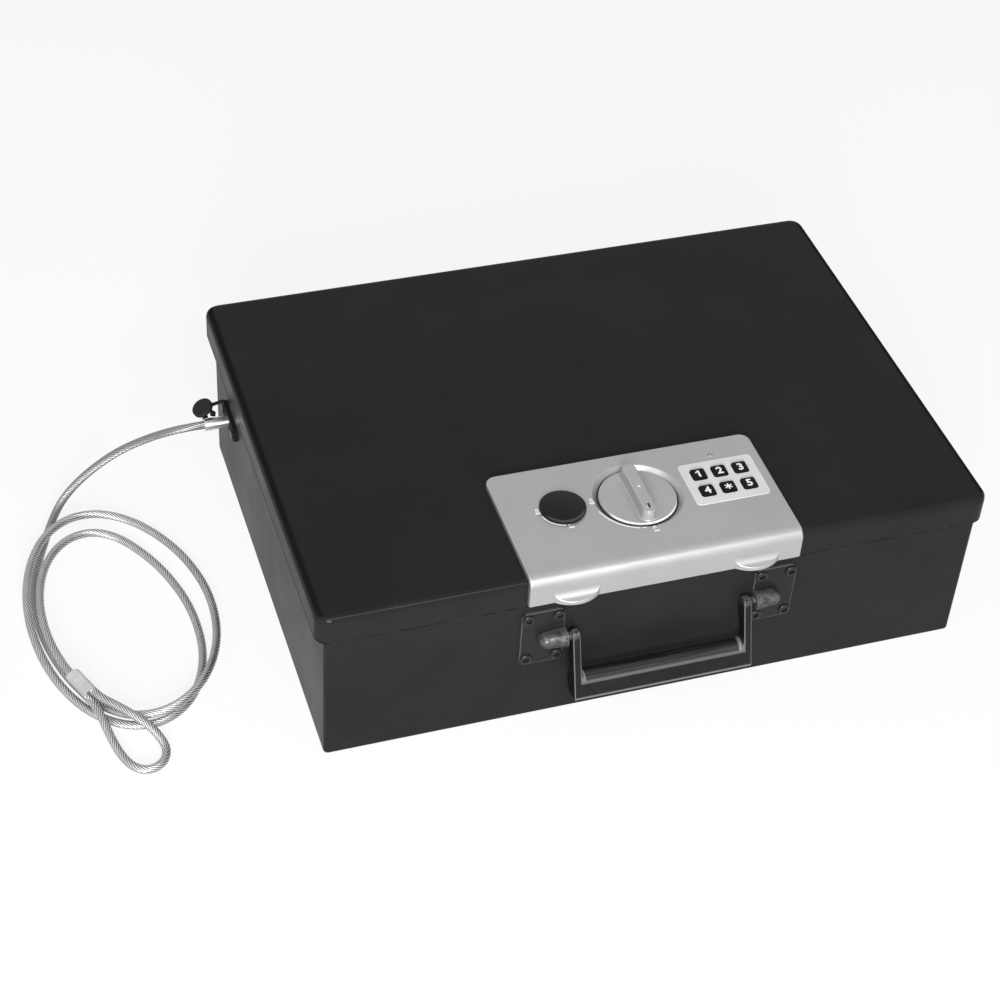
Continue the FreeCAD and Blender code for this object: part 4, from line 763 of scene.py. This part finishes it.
def ropeUv(mesh, rows, columns, along):
    # u counts the wires round the rope, v is metres along it
    row, column = np.divmod(np.arange((rows - 1) * columns), columns)
    u = np.stack([column, column + 1, column + 1, column], axis=-1) / cable["acrossWire"]
    v = along[np.stack([row, row, row + 1, row + 1], axis=-1)]
    corners = np.zeros((len(mesh.loops), 2))
    corners[:u.size] = np.stack([u.ravel(), v.ravel()], axis=-1)
    mesh.uv_layers.new(name="wires").data.foreach_set("uv", corners.ravel())


def ropeMaterial():
    # bright along the top of each wire, dark in the hollows as painted shade, and darker in the stretch next
    # to the box as painted shade from the dark box beside it
    look = ropeLook
    material, tree, sockets = newMaterial("wireRope", **look["shader"])
    wireCount, metres, _ = splitAxes(tree, addNode(tree, "ShaderNodeUVMap", uv_map="wires").outputs["UV"])
    crest = apart(tree, mathNode(tree, "FRACT", wireCount), 0.5)             # 0.5 on a crest, 0 in a hollow
    grain = grainFor(tree, look)
    patches = spread(tree, grain["Patches"], *look["patchSpan"], *look["patchShare"])
    paintedShade = spread(tree, metres, *look["shadedStretch"], *look["shadeShare"])
    tone = times(tree, times(tree, spread(tree, crest, *look["crestSpan"]), patches), paintedShade)
    join(tree, mixColour(tree, tone, look["valley"], look["crest"]), sockets["Base Color"])
    join(tree, spread(tree, grain["Patches"], *look["patchSpan"], *look["rough"]), sockets["Roughness"])
    return material


def makeCable():
    route = [cable["insideFerrule"], cable["exit"], *cable["lead"], *coilPoints(), *cable["eye"]]
    line, along = evenLine(smoothLine("cableRoute", np.array(route) * mm), cable["ring"])
    print("cable length", round(along[-1], 4), "points", len(line))
    rope = linkMesh("security_cable", ropeMesh(line, along), ropeMaterial(), "base")
    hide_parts("cable_lead", "cable_coil", "cable_eye")


makeCable()
print("cable: done")


# Digits on the keys

digit = {
    "size": 7.1 * mm, "thicken": 0.22 * mm, "raise": 0.04 * mm, "sink": 0.03 * mm,
    "starArms": 6, "starArm": 2.2 * mm, "starWidth": 0.85 * mm,
    "half": 2.5 * mm, "stem": 1.25 * mm, "stemShift": 0.2 * mm, "topCut": 0.1 * mm,
    "flag": (1.35 * mm, 1.25 * mm), "flagEnd": 0.75 * mm, "flagCrook": 1.15 * mm, "seenFrom": 1.2 * mm,
}


def numberMesh(name, mark, middle, top):
    # the digit in the built-in font, moved so that its box's middle is that of the key
    curve = bpy.data.curves.new(name, "FONT")
    curve.body = mark
    curve.size = digit["size"]
    curve.offset = digit["thicken"]
    curve.extrude = (digit["raise"] + digit["sink"]) / 2
    curve.align_x = "CENTER"
    mesh = curveMesh(name, curve)
    points = meshPoints(mesh)
    target = Vector((*middle, top + (digit["raise"] - digit["sink"]) / 2))
    mesh.transform(Matrix.Translation(target - Vector((points.min(0) + points.max(0)) / 2)))
    return mesh


def starMesh(name, middle, top):
    # six arms: two corners at each arm's end and one in the crook between it and the next
    arms, width = digit["starArms"], digit["starWidth"]
    step = 360 / arms
    angle = np.radians((np.arange(arms) + 0.5) * step)
    way = np.stack([np.cos(angle), np.sin(angle)], axis=-1)
    aside = np.stack([-way[:, 1], way[:, 0]], axis=-1) * width / 2
    crook = arcPoints((0, 0), width, step, 360, arms)
    outline = np.stack([digit["starArm"] * way - aside, digit["starArm"] * way + aside, crook], axis=1)
    return plateMesh(name, outline.reshape(-1, 2) + middle, middle, top - digit["sink"], top + digit["raise"])


def oneMesh(name, middle, top):
    # an upright stem with a flag at its upper left, as one outline seen from a point in the stem
    half, (flagOut, flagDown) = digit["half"], digit["flag"]
    left, right = (digit["stemShift"] + side * digit["stem"] / 2 for side in (-1, 1))
    tip, under = left - flagOut, half - flagDown
    outline = np.array([(left, -half), (right, -half), (right, half), (left + digit["topCut"], half),
                        (tip, under), (tip, under - digit["flagEnd"]), (left, half - digit["flagCrook"])])
    inside = middle + (digit["stemShift"], half - digit["seenFrom"])
    return plateMesh(name, outline + middle, inside, top - digit["sink"], top + digit["raise"])


printLook = {**labelLook, "dark": (0.80, 0.80, 0.80), "light": (0.86, 0.86, 0.86)}
whitePrint = sprayed("whitePrint", printLook)
for keyNode in keyNodes:
    mark = keyNode.split("_")[1]
    keyLow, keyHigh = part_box(keyNode)
    keyMiddle = np.array((keyLow + keyHigh) / 2)[:2]
    if mark == "star":
        digitMesh = starMesh("digit_" + mark, keyMiddle, keyHigh.z)
    elif mark == "1":
        digitMesh = oneMesh("digit_" + mark, keyMiddle, keyHigh.z)
    else:
        digitMesh = numberMesh("digit_" + mark, mark, keyMiddle, keyHigh.z)
    linkMesh("digit_" + mark, digitMesh, whitePrint, "button_" + mark)
print("digits: done")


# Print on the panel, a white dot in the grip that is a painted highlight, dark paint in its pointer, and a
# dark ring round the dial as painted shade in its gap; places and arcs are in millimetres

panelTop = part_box("keypad_label")[0].z                           # the label lies on it
panelPrint = {
    "arcs": [((-43.0, -88.5), 13.1, 194.0, 259.0), ((0.0, -88.5), 25.9, 196.0, 253.0),
             ((0.0, -88.5), 25.6, 255.0, 260.0)],                # middle, radius and angles
    "arcPoints": 40, "arcWidth": 0.75 * mm, "markWidth": 0.6 * mm, "bodyWidth": 1.2 * mm,
    "raise": 0.03 * mm, "sink": 0.03 * mm,
    "closedMarks": [(-57.0, -89.1), (-26.2, -88.6)], "openMarks": [(-42.9, -103.7), (0.3, -117.4)],
    "bodyHalf": 1.5, "bodyRise": 0.6, "shackleRadius": 0.6, "bowPoints": 12, "legs": 2.2, "closedFoot": 0.4,
    "openFeet": (1.2, 0.7), "openShift": -0.4,
}
gripFills = {
    "dot": (0.0, -88.5), "dotRadius": 0.87, "dotEnd": 345, "dotPoints": 24,
    "dotDepth": (0.43 * mm, 0.12 * mm),                          # below the grip's top
    "pointer": [(0.0, -105.37), (0.0, -103.6), (0.0, -101.83)], "pointerWidth": 1.14 * mm,
    "pointerDepth": (0.53 * mm, 0.40 * mm),
}
# a dark ring in the gap round the dial: painted shade
shadeRing = {"middle": (0.0, -88.5), "inner": 21.55 * mm, "outer": 22.35 * mm, "low": 105.55 * mm,
        "high": 105.8 * mm, "round": 0.1 * mm, "points": 144}


def shacklePath(middle, shift):
    # up one leg, half a circle and down the other leg; an open one has short legs and stands aside
    x, y = middle[0] + shift, middle[1]
    radius = panelPrint["shackleRadius"]
    top = y + panelPrint["bodyRise"] + panelPrint["legs"]
    bow = arcPoints((x, top), radius, 180, 0, panelPrint["bowPoints"])
    feet = [y + panelPrint["closedFoot"]] * 2
    if shift:
        feet = [top - leg for leg in panelPrint["openFeet"]]
    return np.array([(x - radius, feet[0]), *bow, (x + radius, feet[1])])


def makePanelPrint():
    low, high = panelTop - panelPrint["sink"], panelTop + panelPrint["raise"]
    arcs = [arcPoints(*arc, panelPrint["arcPoints"]) * mm for arc in panelPrint["arcs"]]
    shackles, bodies = [], []
    half = panelPrint["bodyHalf"]
    for marks, shift in (("closedMarks", 0.0), ("openMarks", panelPrint["openShift"])):
        for middle in panelPrint[marks]:
            shackles.append(shacklePath(middle, shift) * mm)
            bodies.append((np.array([(-half, 0), (0, 0), (half, 0)]) + middle) * mm)
    for name, paths, width in (("panel_arcs", arcs, "arcWidth"), ("panel_shackles", shackles, "markWidth"),
                               ("panel_bodies", bodies, "bodyWidth")):
        mesh = ribbonMesh(name, paths, panelPrint[width], low, high)
        linkMesh(name, mesh, whitePrint, "lid")


def makeGripFills(dark):
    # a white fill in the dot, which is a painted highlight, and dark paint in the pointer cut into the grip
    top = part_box("dial_knob")[1].z
    middle = np.array(gripFills["dot"]) * mm
    ring = arcPoints(middle, gripFills["dotRadius"] * mm, 0, gripFills["dotEnd"], gripFills["dotPoints"])
    low, high = (top - depth for depth in gripFills["dotDepth"])
    # the white dot: painted highlight
    linkMesh("grip_dot", plateMesh("grip_dot", ring, middle, low, high), whitePrint, "knob")
    low, high = (top - depth for depth in gripFills["pointerDepth"])
    path = np.array(gripFills["pointer"]) * mm
    pointer = ribbonMesh("grip_pointer", [path], gripFills["pointerWidth"], low, high)
    linkMesh("grip_pointer", pointer, dark, "knob")


def makeShadeRing(rubber):
    # a dark ring laid in the gap round the knob as painted shade
    inner, outer, shoulder = shadeRing["inner"], shadeRing["outer"], shadeRing["high"] - shadeRing["round"]
    profile = [(inner, shadeRing["low"]), (outer, shadeRing["low"]), (outer, shoulder),
               ((inner + outer) / 2, shadeRing["high"]), (inner, shoulder)]
    middle = [value * mm for value in shadeRing["middle"]]
    mesh = turnedMesh("dial_shade_ring", middle, profile, shadeRing["points"])
    linkMesh("dial_shade_ring", mesh, rubber, "lid")


shadeRingAndPointerFill = sprayed("shadeRingAndPointerFill", rubberLook)
makePanelPrint()
makeGripFills(shadeRingAndPointerFill)
makeShadeRing(shadeRingAndPointerFill)
print("panel print: done")


# Floor, lights, camera and background

floorLook = {"half": 6.0, "shadowShare": 0.14, "tone": (0.9, 0.9, 0.9)}
lampAim = (0.0, -0.03, 0.06)
lamps = {
    "keyLamp": {"place": (-0.55, -2.0, 0.85), "size": 0.9, "power": 63.0},
    "glintLamp": {"place": (-0.1, -1.5, 1.55), "size": 1.3, "tall": 0.45, "power": 17.0},
    "sideLamp": {"place": (-1.3, -0.65, 1.5), "size": 0.9, "power": 7.0},
}
studio = {"light": 0.15, "seen": 1.0}                            # strength as light and as seen
photoView = {"place": (-0.3904, -0.9281, 0.9393), "turn": -20.35, "down": 42.37, "roll": 4.04,
             "lens": 82.843, "sensor": 36.0, "near": 0.01}


def makeFloor():
    # a white floor that keeps a share of the shadow
    half = floorLook["half"]
    corners = [(-half, -half, 0), (half, -half, 0), (half, half, 0), (-half, half, 0)]
    floor = bpy.data.objects.new("floor", meshFrom("floor", corners, [(0, 1, 2, 3)], False))
    scene.collection.objects.link(floor)
    material = bpy.data.materials.new("floorWhite")
    material.use_nodes = True
    tree = material.node_tree
    tree.nodes.clear()
    glow = addNode(tree, "ShaderNodeEmission", {"Color": (1, 1, 1, 1), "Strength": 1.0})
    matt = addNode(tree, "ShaderNodeBsdfDiffuse", {"Color": (*floorLook["tone"], 1)})
    mix = addNode(tree, "ShaderNodeMixShader")
    join(tree, times(tree, seenDirectly(tree), 1 - floorLook["shadowShare"]), mix.inputs[0])
    join(tree, matt.outputs[0], mix.inputs[1])
    join(tree, glow.outputs[0], mix.inputs[2])
    output = addNode(tree, "ShaderNodeOutputMaterial")
    join(tree, mix.outputs[0], output.inputs["Surface"])
    floor.data.materials.append(material)


def makeLamps():
    for name, settings in lamps.items():
        light = bpy.data.lights.new(name, "AREA")
        light.shape = "RECTANGLE"
        light.size = settings["size"]
        light.size_y = settings.get("tall", settings["size"])
        light.energy = settings["power"]
        holder = bpy.data.objects.new(name, light)
        holder.location = settings["place"]
        holder.rotation_euler = (Vector(lampAim) - holder.location).to_track_quat("-Z", "Y").to_euler()
        scene.collection.objects.link(holder)


def makeWorld():
    world = bpy.data.worlds.new("studio")
    scene.world = world
    world.use_nodes = True
    tree = world.node_tree
    shade = tree.nodes["Background"]
    shade.inputs["Color"].default_value = (1, 1, 1, 1)
    strength = spread(tree, seenDirectly(tree), 0.0, 1.0, studio["light"], studio["seen"])
    join(tree, strength, shade.inputs["Strength"])


def makeCamera():
    lens = bpy.data.cameras.new("photoCamera")
    lens.lens = photoView["lens"]
    lens.sensor_width = photoView["sensor"]
    lens.clip_start = photoView["near"]
    camera = bpy.data.objects.new("photoCamera", lens)
    turn = (Matrix.Rotation(math.radians(photoView["turn"]), 4, "Z")
            @ Matrix.Rotation(math.radians(90 - photoView["down"]), 4, "X")
            @ Matrix.Rotation(math.radians(photoView["roll"]), 4, "Z"))
    camera.matrix_world = Matrix.Translation(photoView["place"]) @ turn
    scene.collection.objects.link(camera)
    scene.camera = camera


makeFloor()
makeLamps()
makeWorld()
makeCamera()
scene.view_settings.view_transform = "Standard"
print("floor, lamps, camera: done")
